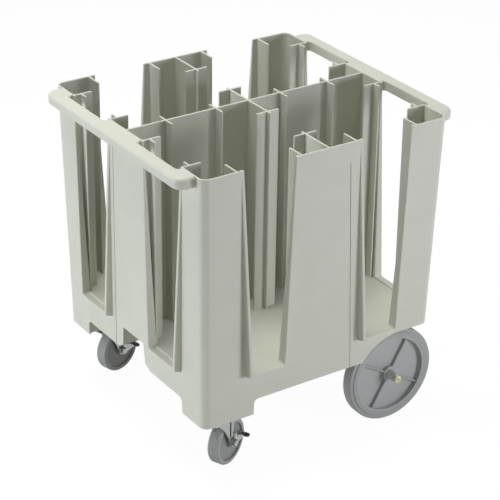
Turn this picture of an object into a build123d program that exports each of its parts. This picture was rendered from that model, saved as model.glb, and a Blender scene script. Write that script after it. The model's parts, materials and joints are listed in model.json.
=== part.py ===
from build123d import *
import math
import os

# Dish caddy: four open columns of thin moulded walls on a deck, carried by two braked swivel
# casters under the front feet (-X) and two large fixed wheels in arches at the rear (+X).
# Millimetres, +Z up, origin on the floor under the middle of the body, near side at -Y.

# Body, measured at the rim; every outer face leans in on its way down
rim_height = 846.0
top_length = 718.0
top_width = 703.0
wall = 5.5
wall_draft = 1.3
corner_radius = 22.0
deck_top = 294.0
deck_thickness = 6.0
wall_seat = 2.0
skirt_bottom = 205.0
foot_bottom = 162.0

# Slots in the long sides and windows in the ends, with the lips that stand out round them
slot_centre = 171.0
slot_rim_width = 146.0
slot_deck_width = 92.0
window_centre = 168.0
window_rim_width = 170.0
window_deck_width = 114.0
lip_thickness = 5.5
lip_reach = 23.0
lip_start = 840.0

# Shallow fields sunk into the middle panels
field_depth = 2.0
field_top = 795.0
side_field_top_width = 170.0
side_field_low_width = 198.0
end_field_top_width = 130.0
end_field_low_width = 184.0

# Flanges, tees and ribs that guide the plates
side_flange_inner = 80.0
side_flange_outer = 262.0
side_flange_tip = 296.0
end_flange_inner = 77.0
end_flange_outer = 257.0
end_flange_tip = 304.0
stub_place = 335.0
stub_length = 25.0
side_tee_place = 244.0
cross_tee_place = 88.0
tee_width = 66.0
tee_stub = 11.0
divider_rib_places = (97.0, 242.0)
divider_rib_width = 60.0

# Handle rails
rail_reach = 47.0
rail_width = 35.0
rail_height = 29.5
rail_length = 640.0
rail_end = 28.0
rail_top_edge = 11.0
rail_low_edge = 6.0
grip_corner = 8.0
grip_edge = 5.0
grip_margin = 1.5

# Base: feet, front and rear notch, ribs under the deck
foot_length = 163.0
foot_width = 118.0
foot_pad = 6.0
foot_blend = 12.0
foot_edge = 8.0
notch_width = 100.0
notch_top = 272.0
notch_mouth_width = 110.0
notch_mouth_height = 217.0
notch_flare_width = 152.0
notch_return = 60.0
rib_inset = 84.5

# Rear wheels, placed from the body's rear end and sides
rear_wheel_radius = 132.0
rear_wheel_width = 36.0
rear_wheel_setback = 116.0
rear_wheel_inset = 28.5
arch_radius = 132.5
arch_offset = 6.0
tyre_depth = 24.0
tyre_shoulder = 5.0
tyre_step = 2.5
tyre_band = 12.0
rim_thickness = 5.0
rim_inset = 2.0
web_thickness = 9.0
hub_radius = 21.0
hub_inset = 3.0
spoke_thickness = 4.0
spoke_inset = 5.0
spoke_count = 4
spoke_turn = 60.0
bush_wall = 4.5
bush_reach = 22.7

# Rear axle and its brackets
axle_radius = 8.0
axle_thread_radius = 5.0
axle_end_spare = 1.5
bracket_thickness = 8.0
bracket_width = 70.0
bracket_bolt_spacing = 44.0
bracket_bolt_heights = (225.0, 265.0)
washer_thickness = 2.5
washer_radius = 12.0
axle_nut_across = 18.0
axle_nut_height = 7.0

# Casters, placed from the body's front end and sides
caster_setback = 97.5
caster_inset = 73.5
caster_turns = {"near": 24.0, "far": 15.0}
caster_radius = 63.5
caster_width = 32.0
caster_trail = 31.5
tread_depth = 12.0
tread_shoulder = 5.0
caster_web_width = 24.0
caster_hub_radius = 15.0
caster_hub_spare = 2.0
plate_length = 95.0
plate_width = 67.0
plate_thickness = 4.0
plate_corner = 8.0
plate_bolt_x = 73.0
plate_bolt_y = 45.0
race_radius = 26.0
race_height = 7.0
race_shoulder = 3.0
swivel_gap = 0.4
cup_radius = 28.0
cup_height = 4.0
fork_thickness = 4.0
fork_front = 46.0
fork_back = 43.0
fork_waist = 9.0
fork_crown_corner = 9.0
fork_eye_radius = 13.0
king_pin_radius = 6.0
king_head_radius = 10.0
king_head_height = 4.0
caster_bolt_radius = 5.0
spacer_wall = 2.0

# Brake levers
lever_thickness = 3.0
lever_eye_radius = 12.0
lever_arm_reach = 41.0
lever_arm_width = 16.0
lever_arm_rise = 5.0
pedal_length = 11.0
pedal_width = 20.0
cap_width = 17.0
cap_wall = 1.6
cap_corner = 3.0

# Fasteners and fits
bolt_radius = 4.0
bolt_across = 13.0
bolt_head_height = 4.5
nut_height = 6.5
caster_nut_across = 17.0
caster_nut_height = 7.0
running_clearance = 0.05
side_clearance = 0.3
cut_margin = 20.0

half_length = top_length / 2
half_width = top_width / 2
deck_bottom = deck_top - deck_thickness
wall_foot = deck_top - wall_seat
foot_inner_x = half_length - foot_length
foot_inner_y = half_width - foot_width
rib_face = half_width - rib_inset
rear_wheel_x = half_length - rear_wheel_setback
rear_wheel_face = half_width - rear_wheel_inset
caster_x = half_length - caster_setback
caster_y = half_width - caster_inset
sides = {"near": -1, "far": 1}
ends = {"front": -1, "rear": 1}


def lean(height):
    """How far the outer faces have come in from the rim at a height."""
    return (rim_height - height) * math.tan(math.radians(wall_draft))


def lip_offset(height):
    """How far the lips stand out of the leaning face at a height."""
    return lip_reach * (lip_start - height) / (lip_start - deck_top)


def block(low, low_reach, high, high_reach):
    """Four-sided block between two heights; each reach is measured out from the rim's faces."""
    rings = []
    for height, reach in ((low, low_reach), (high, high_reach)):
        x = half_length + reach
        y = half_width + reach
        rings.append([(-x, -y, height), (x, -y, height), (x, y, height), (-x, y, height)])
    lower, upper = rings
    faces = [lower, upper]
    for i in range(4):
        j = (i + 1) % 4
        faces.append([lower[i], lower[j], upper[j], upper[i]])
    return Solid(Shell([Face(Wire.make_polygon(points)) for points in faces]))


def body_block(low, high, inset):
    """Leaning body outline filled between two heights, its faces moved in by inset."""
    solid = block(low, -lean(low) - inset, high, -lean(high) - inset)
    upright = [edge for edge in solid.edges() if edge.bounding_box().size.Z > wall]
    return fillet(upright, corner_radius - inset)


def span(x0, x1, y0, y1, z0, z1):
    """Box between two corners, given in any order along each axis."""
    middle = Pos((x0 + x1) / 2, (y0 + y1) / 2, (z0 + z1) / 2)
    return middle * Box(abs(x1 - x0), abs(y1 - y0), abs(z1 - z0))


def outline(*points):
    """Flat face inside a closed run of points."""
    return make_face(Polyline(*points, close=True))


def across_sides(face):
    """Face drawn in X and Z, pushed through both long sides."""
    return extrude(Plane.XZ * face, amount=top_width, both=True)


def across_ends(face):
    """Face drawn in Y and Z, pushed through both ends."""
    return extrude(Plane.YZ * face, amount=top_length, both=True)


def opening(centre, rim_width, deck_width, grow):
    """Outline of a slot or window, with its sides and sill moved out by grow."""
    slope = (rim_width - deck_width) / 2 / (rim_height - deck_top)
    low = deck_top - grow
    high = rim_height + cut_margin
    low_half = deck_width / 2 + grow
    high_half = low_half + slope * (high - low)
    return outline(
        (centre - low_half, low),
        (centre + low_half, low),
        (centre + high_half, high),
        (centre - high_half, high),
    )


def both_openings(grow):
    """Slots through both long sides and windows through both ends."""
    slots = [opening(sign * slot_centre, slot_rim_width, slot_deck_width, grow) for sign in (-1, 1)]
    windows = [
        opening(sign * window_centre, window_rim_width, window_deck_width, grow) for sign in (-1, 1)
    ]
    return [across_sides(face) for face in slots] + [across_ends(face) for face in windows]


def field(top_wide, low_wide):
    """Outline of a sunken field, from the foot's level to its top."""
    return outline(
        (-low_wide / 2, foot_bottom - cut_margin),
        (low_wide / 2, foot_bottom - cut_margin),
        (top_wide / 2, field_top),
        (-top_wide / 2, field_top),
    )


def hexagon_bar(across, height):
    """Hexagon bar standing on the XY plane."""
    return extrude(RegularPolygon(across / 2, 6, major_radius=False), amount=height)


def rod(radius, height):
    """Round bar standing on the XY plane."""
    return extrude(Circle(radius), amount=height)


outer = body_block(foot_bottom, rim_height, 0)
cavity = body_block(foot_bottom - cut_margin, rim_height + cut_margin, wall)
plate_core = body_block(foot_bottom, rim_height, wall / 2)
field_prisms = [
    across_sides(field(side_field_top_width, side_field_low_width)),
    across_ends(field(end_field_top_width, end_field_low_width)),
]
field_skin = outer - body_block(foot_bottom - cut_margin, rim_height + cut_margin, field_depth)
fields = [prism & field_skin for prism in field_prisms]
openings = both_openings(0)
lip_low = -lean(deck_bottom) + lip_offset(deck_bottom)
lip_skin = block(deck_bottom, lip_low, lip_start, -lean(lip_start)) - cavity
lips = [band & lip_skin for band in both_openings(lip_thickness)]
walls = (outer - cavity + lips) - openings - fields
parts = {}


def upright_plate(x0, x1, y0, y1):
    """Plate from the deck to the rim that roots in the middle of the outer wall."""
    return span(x0, x1, y0, y1, wall_foot, rim_height) & plate_core


def standing(x0, x1, y0, y1):
    """Part of the outer walls above the deck inside a plan rectangle."""
    return walls & span(x0, x1, y0, y1, wall_foot, rim_height + cut_margin)


def side_flange(x, sign):
    """Flange on a long side that runs in towards the column."""
    return upright_plate(x - wall / 2, x + wall / 2, sign * side_flange_tip, sign * half_width)


def end_flange(y, sign, stub_to):
    """Flange on an end wall that runs in towards the column, with a stub at its side."""
    flange = upright_plate(sign * end_flange_tip, sign * half_length, y - wall / 2, y + wall / 2)
    x = sign * stub_place
    return flange + upright_plate(x - wall / 2, x + wall / 2, y, stub_to)


def corner_post(end_sign, side_sign):
    """Corner post with a flange on each of its two walls."""
    reach_x = end_sign * top_length
    reach_y = side_sign * top_width
    post = standing(end_sign * slot_centre, reach_x, side_sign * window_centre, reach_y)
    flange_y = side_sign * end_flange_outer
    stub_to = side_sign * (end_flange_outer - stub_length)
    post += side_flange(end_sign * side_flange_outer, side_sign)
    return post + end_flange(flange_y, end_sign, stub_to)


def side_panel(sign):
    """Middle panel of a long side with two flanges and a T-ended web."""
    panel = standing(-slot_centre, slot_centre, 0, sign * top_width)
    for x in (-side_flange_inner, side_flange_inner):
        panel += side_flange(x, sign)
    web_tip = sign * (side_tee_place - tee_stub)
    panel += upright_plate(-wall / 2, wall / 2, web_tip, sign * half_width)
    tee_face = sign * side_tee_place
    return panel + upright_plate(-tee_width / 2, tee_width / 2, tee_face, tee_face + sign * wall)


def end_panel(sign):
    """Middle panel of an end with two flanges and their stubs."""
    panel = standing(0, sign * top_length, -window_centre, window_centre)
    for side in (-1, 1):
        stub_to = side * (end_flange_inner + stub_length)
        panel += end_flange(side * end_flange_inner, sign, stub_to)
    return panel


def column_divider():
    """Divider along the middle from end panel to end panel, with short plate ribs."""
    plate = span(-half_length, half_length, -wall / 2, wall / 2, wall_foot, rim_height) & cavity
    half = divider_rib_width / 2
    for place in divider_rib_places:
        for x in (-place, place):
            plate += span(x - wall / 2, x + wall / 2, -half, half, wall_foot, rim_height)
    return plate


def cross_wall(sign):
    """Half of the wall across the middle, from the divider to its T end."""
    tip = sign * (cross_tee_place + tee_stub)
    plate = span(-wall / 2, wall / 2, sign * wall / 2, tip, wall_foot, rim_height)
    face = sign * cross_tee_place
    return plate + span(-tee_width / 2, tee_width / 2, face - sign * wall, face, wall_foot, rim_height)


def handle_rail(sign):
    """Rail along an end, returned to the posts and the middle panel round two hand grips."""
    root = half_length - wall
    outside = half_length + rail_reach
    inside = outside - rail_width
    half = rail_length / 2
    low = rim_height - rail_height
    plan = outline((root, -half), (outside, -half), (outside, half), (root, half))
    plan = fillet(plan.vertices().group_by(Axis.X)[-1], rail_end)
    grip_half = window_rim_width / 2 + lip_thickness + grip_margin
    for y in (-window_centre, window_centre):
        y0 = y - grip_half
        y1 = y + grip_half
        hole = outline((root, y0), (inside, y0), (inside, y1), (root, y1))
        plan -= fillet(hole.vertices().group_by(Axis.X)[-1], grip_corner)
    rail = Pos(0, 0, low) * extrude(plan, amount=rail_height)

    def level(height, around_rail):
        """Level edges at a height, round the rail's outside or round its grips."""
        found = []
        for edge in rail.edges():
            middle = edge.center()
            on_root = edge.bounding_box().max.X < root + grip_margin
            is_outer = middle.X > inside + grip_margin or abs(middle.Y) > half - grip_margin
            if abs(middle.Z - height) < grip_margin and not on_root and is_outer == around_rail:
                found.append(edge)
        return found

    rail = fillet(level(rim_height, True), rail_top_edge)
    rail = fillet(level(low, True), rail_low_edge)
    rail = fillet(level(rim_height, False), grip_edge)
    rail = fillet(level(low, False), grip_edge)
    rail = rail - outer
    return rail if sign > 0 else Rot(0, 0, 180) * rail


for end, end_sign in ends.items():
    for side, side_sign in sides.items():
        parts[f"post_{end}_{side}"] = corner_post(end_sign, side_sign)
    parts[f"end_panel_{end}"] = end_panel(end_sign)
    parts[f"handle_rail_{end}"] = handle_rail(end_sign)
for side, side_sign in sides.items():
    parts[f"side_panel_{side}"] = side_panel(side_sign)
    parts[f"cross_wall_{side}"] = cross_wall(side_sign)
parts["column_divider"] = column_divider()

# Base: deck with sills, skirt walls with their bottom outline, feet and ribs
slab_range = (-top_length, top_length, -top_width, top_width, deck_bottom, deck_top)
slab = span(*slab_range)
sills = [lip & slab for lip in lips]
parts["deck"] = (outer & slab) + sills - fields - list(parts.values())

arch_x = rear_wheel_x + arch_offset
arch_top = rear_wheel_radius + arch_radius
arch_start = arch_x - math.sqrt(arch_radius**2 - (skirt_bottom - rear_wheel_radius) ** 2)
arch_bend = arch_radius * math.cos(math.radians(45))
low = foot_bottom - cut_margin
side_line = Curve() + [
    Polyline((-foot_inner_x, low), (-foot_inner_x, skirt_bottom), (arch_start, skirt_bottom)),
    Polyline(
        (arch_x, arch_top),
        (top_length, arch_top),
        (top_length, low),
        (-foot_inner_x, low),
    ),
    ThreePointArc(
        (arch_start, skirt_bottom),
        (arch_x - arch_bend, rear_wheel_radius + arch_bend),
        (arch_x, arch_top),
    ),
]
side_face = make_face(side_line)
foot_corner = side_face.vertices().sort_by_distance((-foot_inner_x, skirt_bottom))[0]
side_cut = across_sides(fillet(foot_corner, foot_blend))
middle_band = span(-top_length, top_length, -rib_face, rib_face, low, deck_top)


def end_cut(half):
    """Bottom outline of an end skirt between two corners, with the notch in its middle."""
    right = [
        (half, low),
        (half, skirt_bottom),
        (notch_flare_width / 2, skirt_bottom),
        (notch_mouth_width / 2, notch_mouth_height),
        (notch_width / 2, notch_top),
    ]
    left = [(-y, z) for y, z in reversed(right)]
    face = outline(*right, *left)
    corners = [face.vertices().sort_by_distance((y, skirt_bottom))[0] for y in (-half, half)]
    return across_ends(fillet(corners, foot_blend))


ring = (outer - cavity - fields) & span(*slab_range[:4], low, deck_bottom)
side_ring = ring - (side_cut - middle_band)
front_ring = side_ring - end_cut(foot_inner_y)
rear_ring = side_ring - end_cut(rib_face)
rear_split = half_length - lean(foot_bottom) - corner_radius


def skirt_front():
    """Front skirt between the feet, with walls that run in from the notch."""
    skirt = front_ring & span(-top_length, 0, -foot_inner_y, foot_inner_y, low, deck_bottom)
    inner = notch_return - half_length + lean(skirt_bottom)
    for sign in (-1, 1):
        y = sign * notch_mouth_width / 2
        side_wall = span(-half_length, inner, y, y + sign * wall, notch_mouth_height, deck_bottom)
        skirt += side_wall & plate_core
    return skirt


def skirt_side(sign):
    """Side skirt from the foot to the rear corner, with the wheel arch."""
    return side_ring & span(-foot_inner_x, rear_split, 0, sign * top_width, low, deck_bottom)


def foot(sign):
    """Hollow corner foot with a pad that the caster is bolted to."""
    room = span(-top_length, -foot_inner_x, sign * foot_inner_y, sign * top_width, low, deck_bottom)
    shell = ring & room
    inside_x = -foot_inner_x - wall
    inside_y = sign * (foot_inner_y + wall)
    liner = room & plate_core
    hollow = span(-top_length, inside_x, inside_y, sign * top_width, foot_bottom + foot_pad, deck_top)
    bolts = Pos(-caster_x, sign * caster_y, low) * GridLocations(plate_bolt_x, plate_bolt_y, 2, 2)
    holes = [spot * rod(bolt_radius, deck_top) for spot in bolts]
    body = shell + (liner - hollow) - holes
    low_edges = body.edges().group_by(Axis.Z)[0]
    inner_side = low_edges.filter_by(Axis.X).sort_by(Axis.Y)[-1 if sign < 0 else 0]
    inner_end = low_edges.filter_by(Axis.Y).sort_by(Axis.X)[-1]
    return fillet([inner_side, inner_end], foot_edge)


def base_rib(sign):
    """Long rib from the foot to the rear skirt, which is also the wheel well's inner wall."""
    y = sign * rib_face
    rib = span(-foot_inner_x, half_length, y, y - sign * wall, skirt_bottom, deck_bottom) & cavity
    return rib - bracket_bolt_rods(sign, bolt_radius)


def bracket_spots():
    """Places of a bracket's bolts in X and Z."""
    half = bracket_bolt_spacing / 2
    return [(rear_wheel_x + dx, z) for dx in (-half, half) for z in bracket_bolt_heights]


def across(x, y, z, sign, solid):
    """Solid drawn along +Z, laid along Y and pointing away from the middle."""
    return Pos(x, y, z) * Rot(-90 * sign, 0, 0) * solid


def bracket_bolt_rods(sign, radius):
    """Rods through the rib and the bracket at each of its bolts."""
    start = sign * (rib_face - wall)
    depth = wall + bracket_thickness
    return [across(x, start, z, sign, rod(radius, depth)) for x, z in bracket_spots()]


parts["skirt_front"] = skirt_front()
rear_room = span(rear_split, top_length, -top_width, top_width, low, deck_bottom)
parts["skirt_rear"] = rear_ring & rear_room
for side, side_sign in sides.items():
    parts[f"skirt_{side}"] = skirt_side(side_sign)
    parts[f"foot_{side}"] = foot(side_sign)
    parts[f"base_rib_{side}"] = base_rib(side_sign)

# Rear wheels, axle and brackets; each profile is drawn as radius and place along the axle
bracket_face = rib_face + bracket_thickness
inner_washer = bracket_face + washer_thickness
bush_radius = axle_radius + bush_wall
bush_start = inner_washer + side_clearance
bush_end = rear_wheel_face + bush_reach
axle_shoulder = bush_end + side_clearance
nut_start = axle_shoulder + washer_thickness
axle_end = nut_start + axle_nut_height + axle_end_spare
wheel_back = rear_wheel_face - rear_wheel_width
wheel_middle = (rear_wheel_face + wheel_back) / 2
tyre_inner = rear_wheel_radius - tyre_depth


def spun(points):
    """Solid of revolution about Z from points of radius and height."""
    return revolve(Plane.XZ * outline(*points), Axis.Z)


def wheel_core():
    """Wheel centre standing on Z: rim, web, hub and radial ribs on both faces."""
    rim_low = wheel_back + rim_inset
    rim_high = rear_wheel_face - rim_inset
    rim_inner = tyre_inner - rim_thickness
    web_low = wheel_middle - web_thickness / 2
    web_high = wheel_middle + web_thickness / 2
    hub_low = wheel_back - hub_inset
    hub_high = rear_wheel_face - hub_inset
    core = spun(
        [
            (bush_radius, hub_low),
            (hub_radius, hub_low),
            (hub_radius, web_low),
            (rim_inner, web_low),
            (rim_inner, rim_low),
            (tyre_inner, rim_low),
            (tyre_inner, rim_high),
            (rim_inner, rim_high),
            (rim_inner, web_high),
            (hub_radius, web_high),
            (hub_radius, hub_high),
            (bush_radius, hub_high),
        ]
    )
    start = hub_radius - wall / 2
    length = rim_inner + rim_thickness / 2 - start
    low_spoke = wheel_back + spoke_inset
    depth = rear_wheel_face - spoke_inset - low_spoke
    spoke = Pos(start + length / 2, 0, low_spoke + depth / 2) * Box(length, spoke_thickness, depth)
    for i in range(spoke_count):
        core += Rot(0, 0, i * 360 / spoke_count) * spoke
    return core


def tyre():
    """Tyre ring standing on Z with rounded shoulders and a shallow step on each flank."""
    step_radius = rear_wheel_radius - tyre_band
    low_step = wheel_back + tyre_step
    high_step = rear_wheel_face - tyre_step
    ring_solid = spun(
        [
            (tyre_inner, wheel_back),
            (step_radius, wheel_back),
            (step_radius, low_step),
            (rear_wheel_radius, low_step),
            (rear_wheel_radius, high_step),
            (step_radius, high_step),
            (step_radius, rear_wheel_face),
            (tyre_inner, rear_wheel_face),
        ]
    )
    shoulders = ring_solid.edges().filter_by(GeomType.CIRCLE)
    shoulders = [edge for edge in shoulders if edge.radius > rear_wheel_radius - tyre_step]
    return fillet(shoulders, tyre_shoulder)


def laid(sign, turn, solid):
    """Wheel piece laid on the axle at one side, its first rib turned up from +X."""
    upright = Rot(0, 0, -sign * turn) * solid
    return across(rear_wheel_x, 0, rear_wheel_radius, sign, upright)


def bracket(sign):
    """Plate bolted to the rib and up against the deck, with a round end for the axle."""
    half = bracket_width / 2
    sheet = span(-half, half, 0, bracket_thickness, 0, deck_bottom - rear_wheel_radius)
    eye = Pos(0, bracket_thickness, 0) * Rot(90, 0, 0) * rod(half, bracket_thickness)
    y = rib_face if sign > 0 else -bracket_face
    plate = Pos(rear_wheel_x, y, rear_wheel_radius) * (sheet + eye)
    bore = across(rear_wheel_x, 0, rear_wheel_radius, sign, rod(axle_radius, axle_end))
    return plate - bore - bracket_bolt_rods(sign, bolt_radius)


def ring_at(inner, outer_radius, low_end, high_end):
    """Plain ring standing on Z between two heights."""
    return Pos(0, 0, low_end) * (rod(outer_radius, high_end - low_end) - rod(inner, high_end - low_end))


def headed_bolt(grip, across_flats, head_height, radius):
    """Bolt along Z: its head below the plane and its shank from the plane to the grip."""
    return Pos(0, 0, -head_height) * hexagon_bar(across_flats, head_height) + rod(radius, grip)


bracket_grip = wall + bracket_thickness + nut_height
bracket_bolt = headed_bolt(bracket_grip, bolt_across, bolt_head_height, bolt_radius)
plain_nut = hexagon_bar(bolt_across, nut_height) - rod(bolt_radius, nut_height)
axle_nut = hexagon_bar(axle_nut_across, axle_nut_height) - rod(axle_thread_radius, axle_nut_height)
rear_bush = ring_at(axle_radius + running_clearance, bush_radius, bush_start, bush_end)
washers = [
    ring_at(axle_radius, washer_radius, bracket_face, inner_washer),
    ring_at(axle_thread_radius, washer_radius, axle_shoulder, nut_start),
]
bracket_bolts = []
bracket_nuts = []
axle_washers = []
axle_nuts = []
for side, side_sign in sides.items():
    parts[f"rear_wheel_{side}"] = laid(side_sign, spoke_turn, wheel_core())
    parts[f"rear_tyre_{side}"] = laid(side_sign, 0, tyre())
    parts[f"rear_bush_{side}"] = laid(side_sign, 0, rear_bush)
    parts[f"axle_bracket_{side}"] = bracket(side_sign)
    axle_washers += [laid(side_sign, 0, washer) for washer in washers]
    axle_nuts.append(laid(side_sign, 0, Pos(0, 0, nut_start) * axle_nut))
    for x, z in bracket_spots():
        head_at = side_sign * bracket_face
        nut_at = side_sign * (rib_face - wall)
        bracket_bolts.append(across(x, head_at, z, -side_sign, bracket_bolt))
        bracket_nuts.append(across(x, nut_at, z, -side_sign, plain_nut))
axle_half = rod(axle_radius, axle_shoulder) + rod(axle_thread_radius, axle_end)
parts["rear_axle"] = laid(-1, 0, axle_half) + laid(1, 0, axle_half)
parts["axle_washers"] = Compound(children=axle_washers)
parts["axle_nuts"] = Compound(children=axle_nuts)
parts["bracket_bolts"] = Compound(children=bracket_bolts)
parts["bracket_nuts"] = Compound(children=bracket_nuts)

# Casters, drawn with the swivel on Z, the wheel trailing towards +X and the brake at -Y
plate_low = foot_bottom - plate_thickness
race_low = plate_low - race_height
cup_top = race_low - swivel_gap
crown_top = cup_top - cup_height
crown_low = crown_top - fork_thickness
spacer_radius = caster_bolt_radius + spacer_wall
hub_half = caster_width / 2 + caster_hub_spare
leg_inner = hub_half + side_clearance
leg_outer = leg_inner + fork_thickness
lever_inner = leg_outer + side_clearance
lever_outer = lever_inner + lever_thickness
caster_nut_inner = lever_outer + side_clearance
caster_nut_outer = caster_nut_inner + caster_nut_height
axle_spot = (caster_trail, caster_radius)


def lying(y_from, y_to, face):
    """Face drawn in X and Z, pushed along Y between two places."""
    return Pos(0, y_from, 0) * extrude(Plane.XZ * face, amount=y_from - y_to)


def on_axle(radius):
    """Disc face round the caster's axle, in X and Z."""
    return Pos(*axle_spot) * Circle(radius)


def caster_plate():
    """Top plate with its four bolt holes and the king pin's hole."""
    plan = RectangleRounded(plate_length, plate_width, plate_corner) - Circle(king_pin_radius)
    plan -= [spot * Circle(bolt_radius) for spot in GridLocations(plate_bolt_x, plate_bolt_y, 2, 2)]
    return Pos(0, 0, plate_low) * extrude(plan, amount=plate_thickness)


def upper_race():
    """Upper ball race pressed to the plate, stepped in towards the fork."""
    return spun(
        [
            (king_pin_radius, race_low),
            (race_radius - race_shoulder, race_low),
            (race_radius, race_low + race_shoulder),
            (race_radius, plate_low),
            (king_pin_radius, plate_low),
        ]
    )


def king_pin():
    """King pin with its round head under the fork."""
    head_top = crown_low - side_clearance
    pin = Pos(0, 0, head_top) * rod(king_pin_radius, foot_bottom - head_top)
    return pin + Pos(0, 0, head_top - king_head_height) * rod(king_head_radius, king_head_height)


def fork():
    """Fork with a round cup, a crown and two legs that sweep in to the axle."""
    length = fork_front + fork_back
    crown = RectangleRounded(length, 2 * leg_outer, fork_crown_corner)
    body = Pos((fork_back - fork_front) / 2, 0, crown_low) * extrude(crown, amount=fork_thickness)
    body += Pos(0, 0, crown_top) * rod(cup_radius, cup_height)
    front = -fork_front + fork_crown_corner
    back = fork_back - fork_crown_corner
    front_eye = caster_trail - fork_eye_radius
    back_eye = caster_trail + fork_eye_radius
    waist_height = (crown_low + caster_radius) / 2
    leg_line = Curve() + [
        Polyline((front, crown_low), (front, crown_top), (back, crown_top), (back, crown_low)),
        ThreePointArc(
            (back, crown_low),
            ((back + back_eye) / 2 - fork_waist / 2, waist_height),
            (back_eye, caster_radius),
        ),
        Line((back_eye, caster_radius), (front_eye, caster_radius)),
        ThreePointArc(
            (front_eye, caster_radius),
            ((front + front_eye) / 2 + fork_waist, waist_height),
            (front, crown_low),
        ),
    ]
    leg = make_face(leg_line) + on_axle(fork_eye_radius) - on_axle(caster_bolt_radius)
    body += [lying(leg_outer, leg_inner, leg), lying(-leg_inner, -leg_outer, leg)]
    return body - Pos(0, 0, crown_low) * rod(king_pin_radius + running_clearance, foot_bottom)


def caster_disc(points):
    """Ring round the caster's axle from points of radius and place along the axle."""
    return Pos(caster_trail, 0, caster_radius) * Rot(90, 0, 0) * spun(points)


def caster_core():
    """Wheel centre: rim, web and hub."""
    bore = spacer_radius + running_clearance
    rim = caster_radius - tread_depth
    half_web = caster_web_width / 2
    return caster_disc(
        [
            (bore, -hub_half),
            (caster_hub_radius, -hub_half),
            (caster_hub_radius, -half_web),
            (rim, -half_web),
            (rim, half_web),
            (caster_hub_radius, half_web),
            (caster_hub_radius, hub_half),
            (bore, hub_half),
        ]
    )


def caster_tread():
    """Tread ring with rounded shoulders."""
    rim = caster_radius - tread_depth
    half = caster_width / 2
    tread = caster_disc([(rim, -half), (caster_radius, -half), (caster_radius, half), (rim, half)])
    shoulders = tread.edges().filter_by(GeomType.CIRCLE)
    shoulders = [edge for edge in shoulders if edge.radius > caster_radius - tread_shoulder]
    return fillet(shoulders, tread_shoulder)


def caster_bolt():
    """Axle bolt with its head on the side away from the brake."""
    length = leg_outer + caster_nut_outer
    bolt = headed_bolt(length, caster_nut_across, caster_nut_height, caster_bolt_radius)
    return Pos(caster_trail, leg_outer, caster_radius) * Rot(90, 0, 0) * bolt


def caster_nut():
    """Lock nut outside the brake lever."""
    nut = hexagon_bar(caster_nut_across, caster_nut_height) - rod(caster_bolt_radius, caster_nut_height)
    return Pos(caster_trail, -caster_nut_inner, caster_radius) * Rot(90, 0, 0) * nut


def caster_spacer():
    """Spacer tube that the fork's legs are clamped on."""
    ring_solid = ring_at(caster_bolt_radius, spacer_radius, -leg_inner, leg_inner)
    return Pos(caster_trail, 0, caster_radius) * Rot(90, 0, 0) * ring_solid


def pedal_plate():
    """Pedal that the lever is bent out into."""
    x = caster_trail + lever_arm_reach
    z = caster_radius + lever_arm_rise
    middle = Pos(x, -lever_inner - pedal_width / 2, z)
    return middle * Box(pedal_length, pedal_width, lever_thickness)


def brake_lever():
    """Brake lever: an eye on the axle bolt, an arm and a pedal bent outwards."""
    x = caster_trail + lever_arm_reach
    z = caster_radius + lever_arm_rise
    half = lever_arm_width / 2
    arm = outline(
        (caster_trail, caster_radius + lever_eye_radius),
        (x, z + half),
        (x + half, z),
        (x, z - half),
        (caster_trail, caster_radius - lever_eye_radius),
    )
    plate = arm + on_axle(lever_eye_radius) - on_axle(caster_bolt_radius + running_clearance)
    return lying(-lever_inner, -lever_outer, plate) + pedal_plate()


def brake_cap():
    """Rubber cap pushed over the end of the pedal."""
    x = caster_trail + lever_arm_reach
    z = caster_radius + lever_arm_rise
    tip = lever_inner + pedal_width + cap_wall
    length = pedal_length + 2 * cap_wall
    cap = Pos(x, -tip + cap_width / 2, z) * Box(length, cap_width, lever_thickness + 2 * cap_wall)
    cap = fillet(cap.edges(), cap_corner)
    return cap - pedal_plate()


plate_grip = plate_thickness + foot_pad + nut_height
plate_bolt = headed_bolt(plate_grip, bolt_across, bolt_head_height, bolt_radius)
swivel_pieces = {
    "caster_fork": fork,
    "caster_wheel": caster_core,
    "caster_tread": caster_tread,
    "caster_bolt": caster_bolt,
    "caster_nut": caster_nut,
    "caster_spacer": caster_spacer,
    "brake_lever": brake_lever,
    "brake_cap": brake_cap,
}
fixed_pieces = {"caster_plate": caster_plate, "caster_race": upper_race, "caster_king_pin": king_pin}
plate_bolts = []
plate_nuts = []
for side, side_sign in sides.items():
    place = Pos(-caster_x, side_sign * caster_y, 0)
    turned = place * Rot(0, 0, caster_turns[side])
    for name, make in swivel_pieces.items():
        parts[f"{name}_{side}"] = turned * make()
    for name, make in fixed_pieces.items():
        parts[f"{name}_{side}"] = place * make()
    for spot in GridLocations(plate_bolt_x, plate_bolt_y, 2, 2):
        plate_bolts.append(place * Pos(0, 0, plate_low) * spot * plate_bolt)
        plate_nuts.append(place * Pos(0, 0, foot_bottom + foot_pad) * spot * plain_nut)
parts["caster_plate_bolts"] = Compound(children=plate_bolts)
parts["caster_plate_nuts"] = Compound(children=plate_nuts)

os.makedirs("parts", exist_ok=True)
for name, solid in parts.items():
    export_step(solid, f"parts/{name}.step")
    print(name, len(solid.solids()), round(solid.volume))
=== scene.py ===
import json
import logging
import math
from dataclasses import dataclass
from enum import Enum, IntEnum
from typing import Callable, Iterable, Optional, Sequence

import bmesh
import bpy
from mathutils import Matrix, Vector


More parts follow.
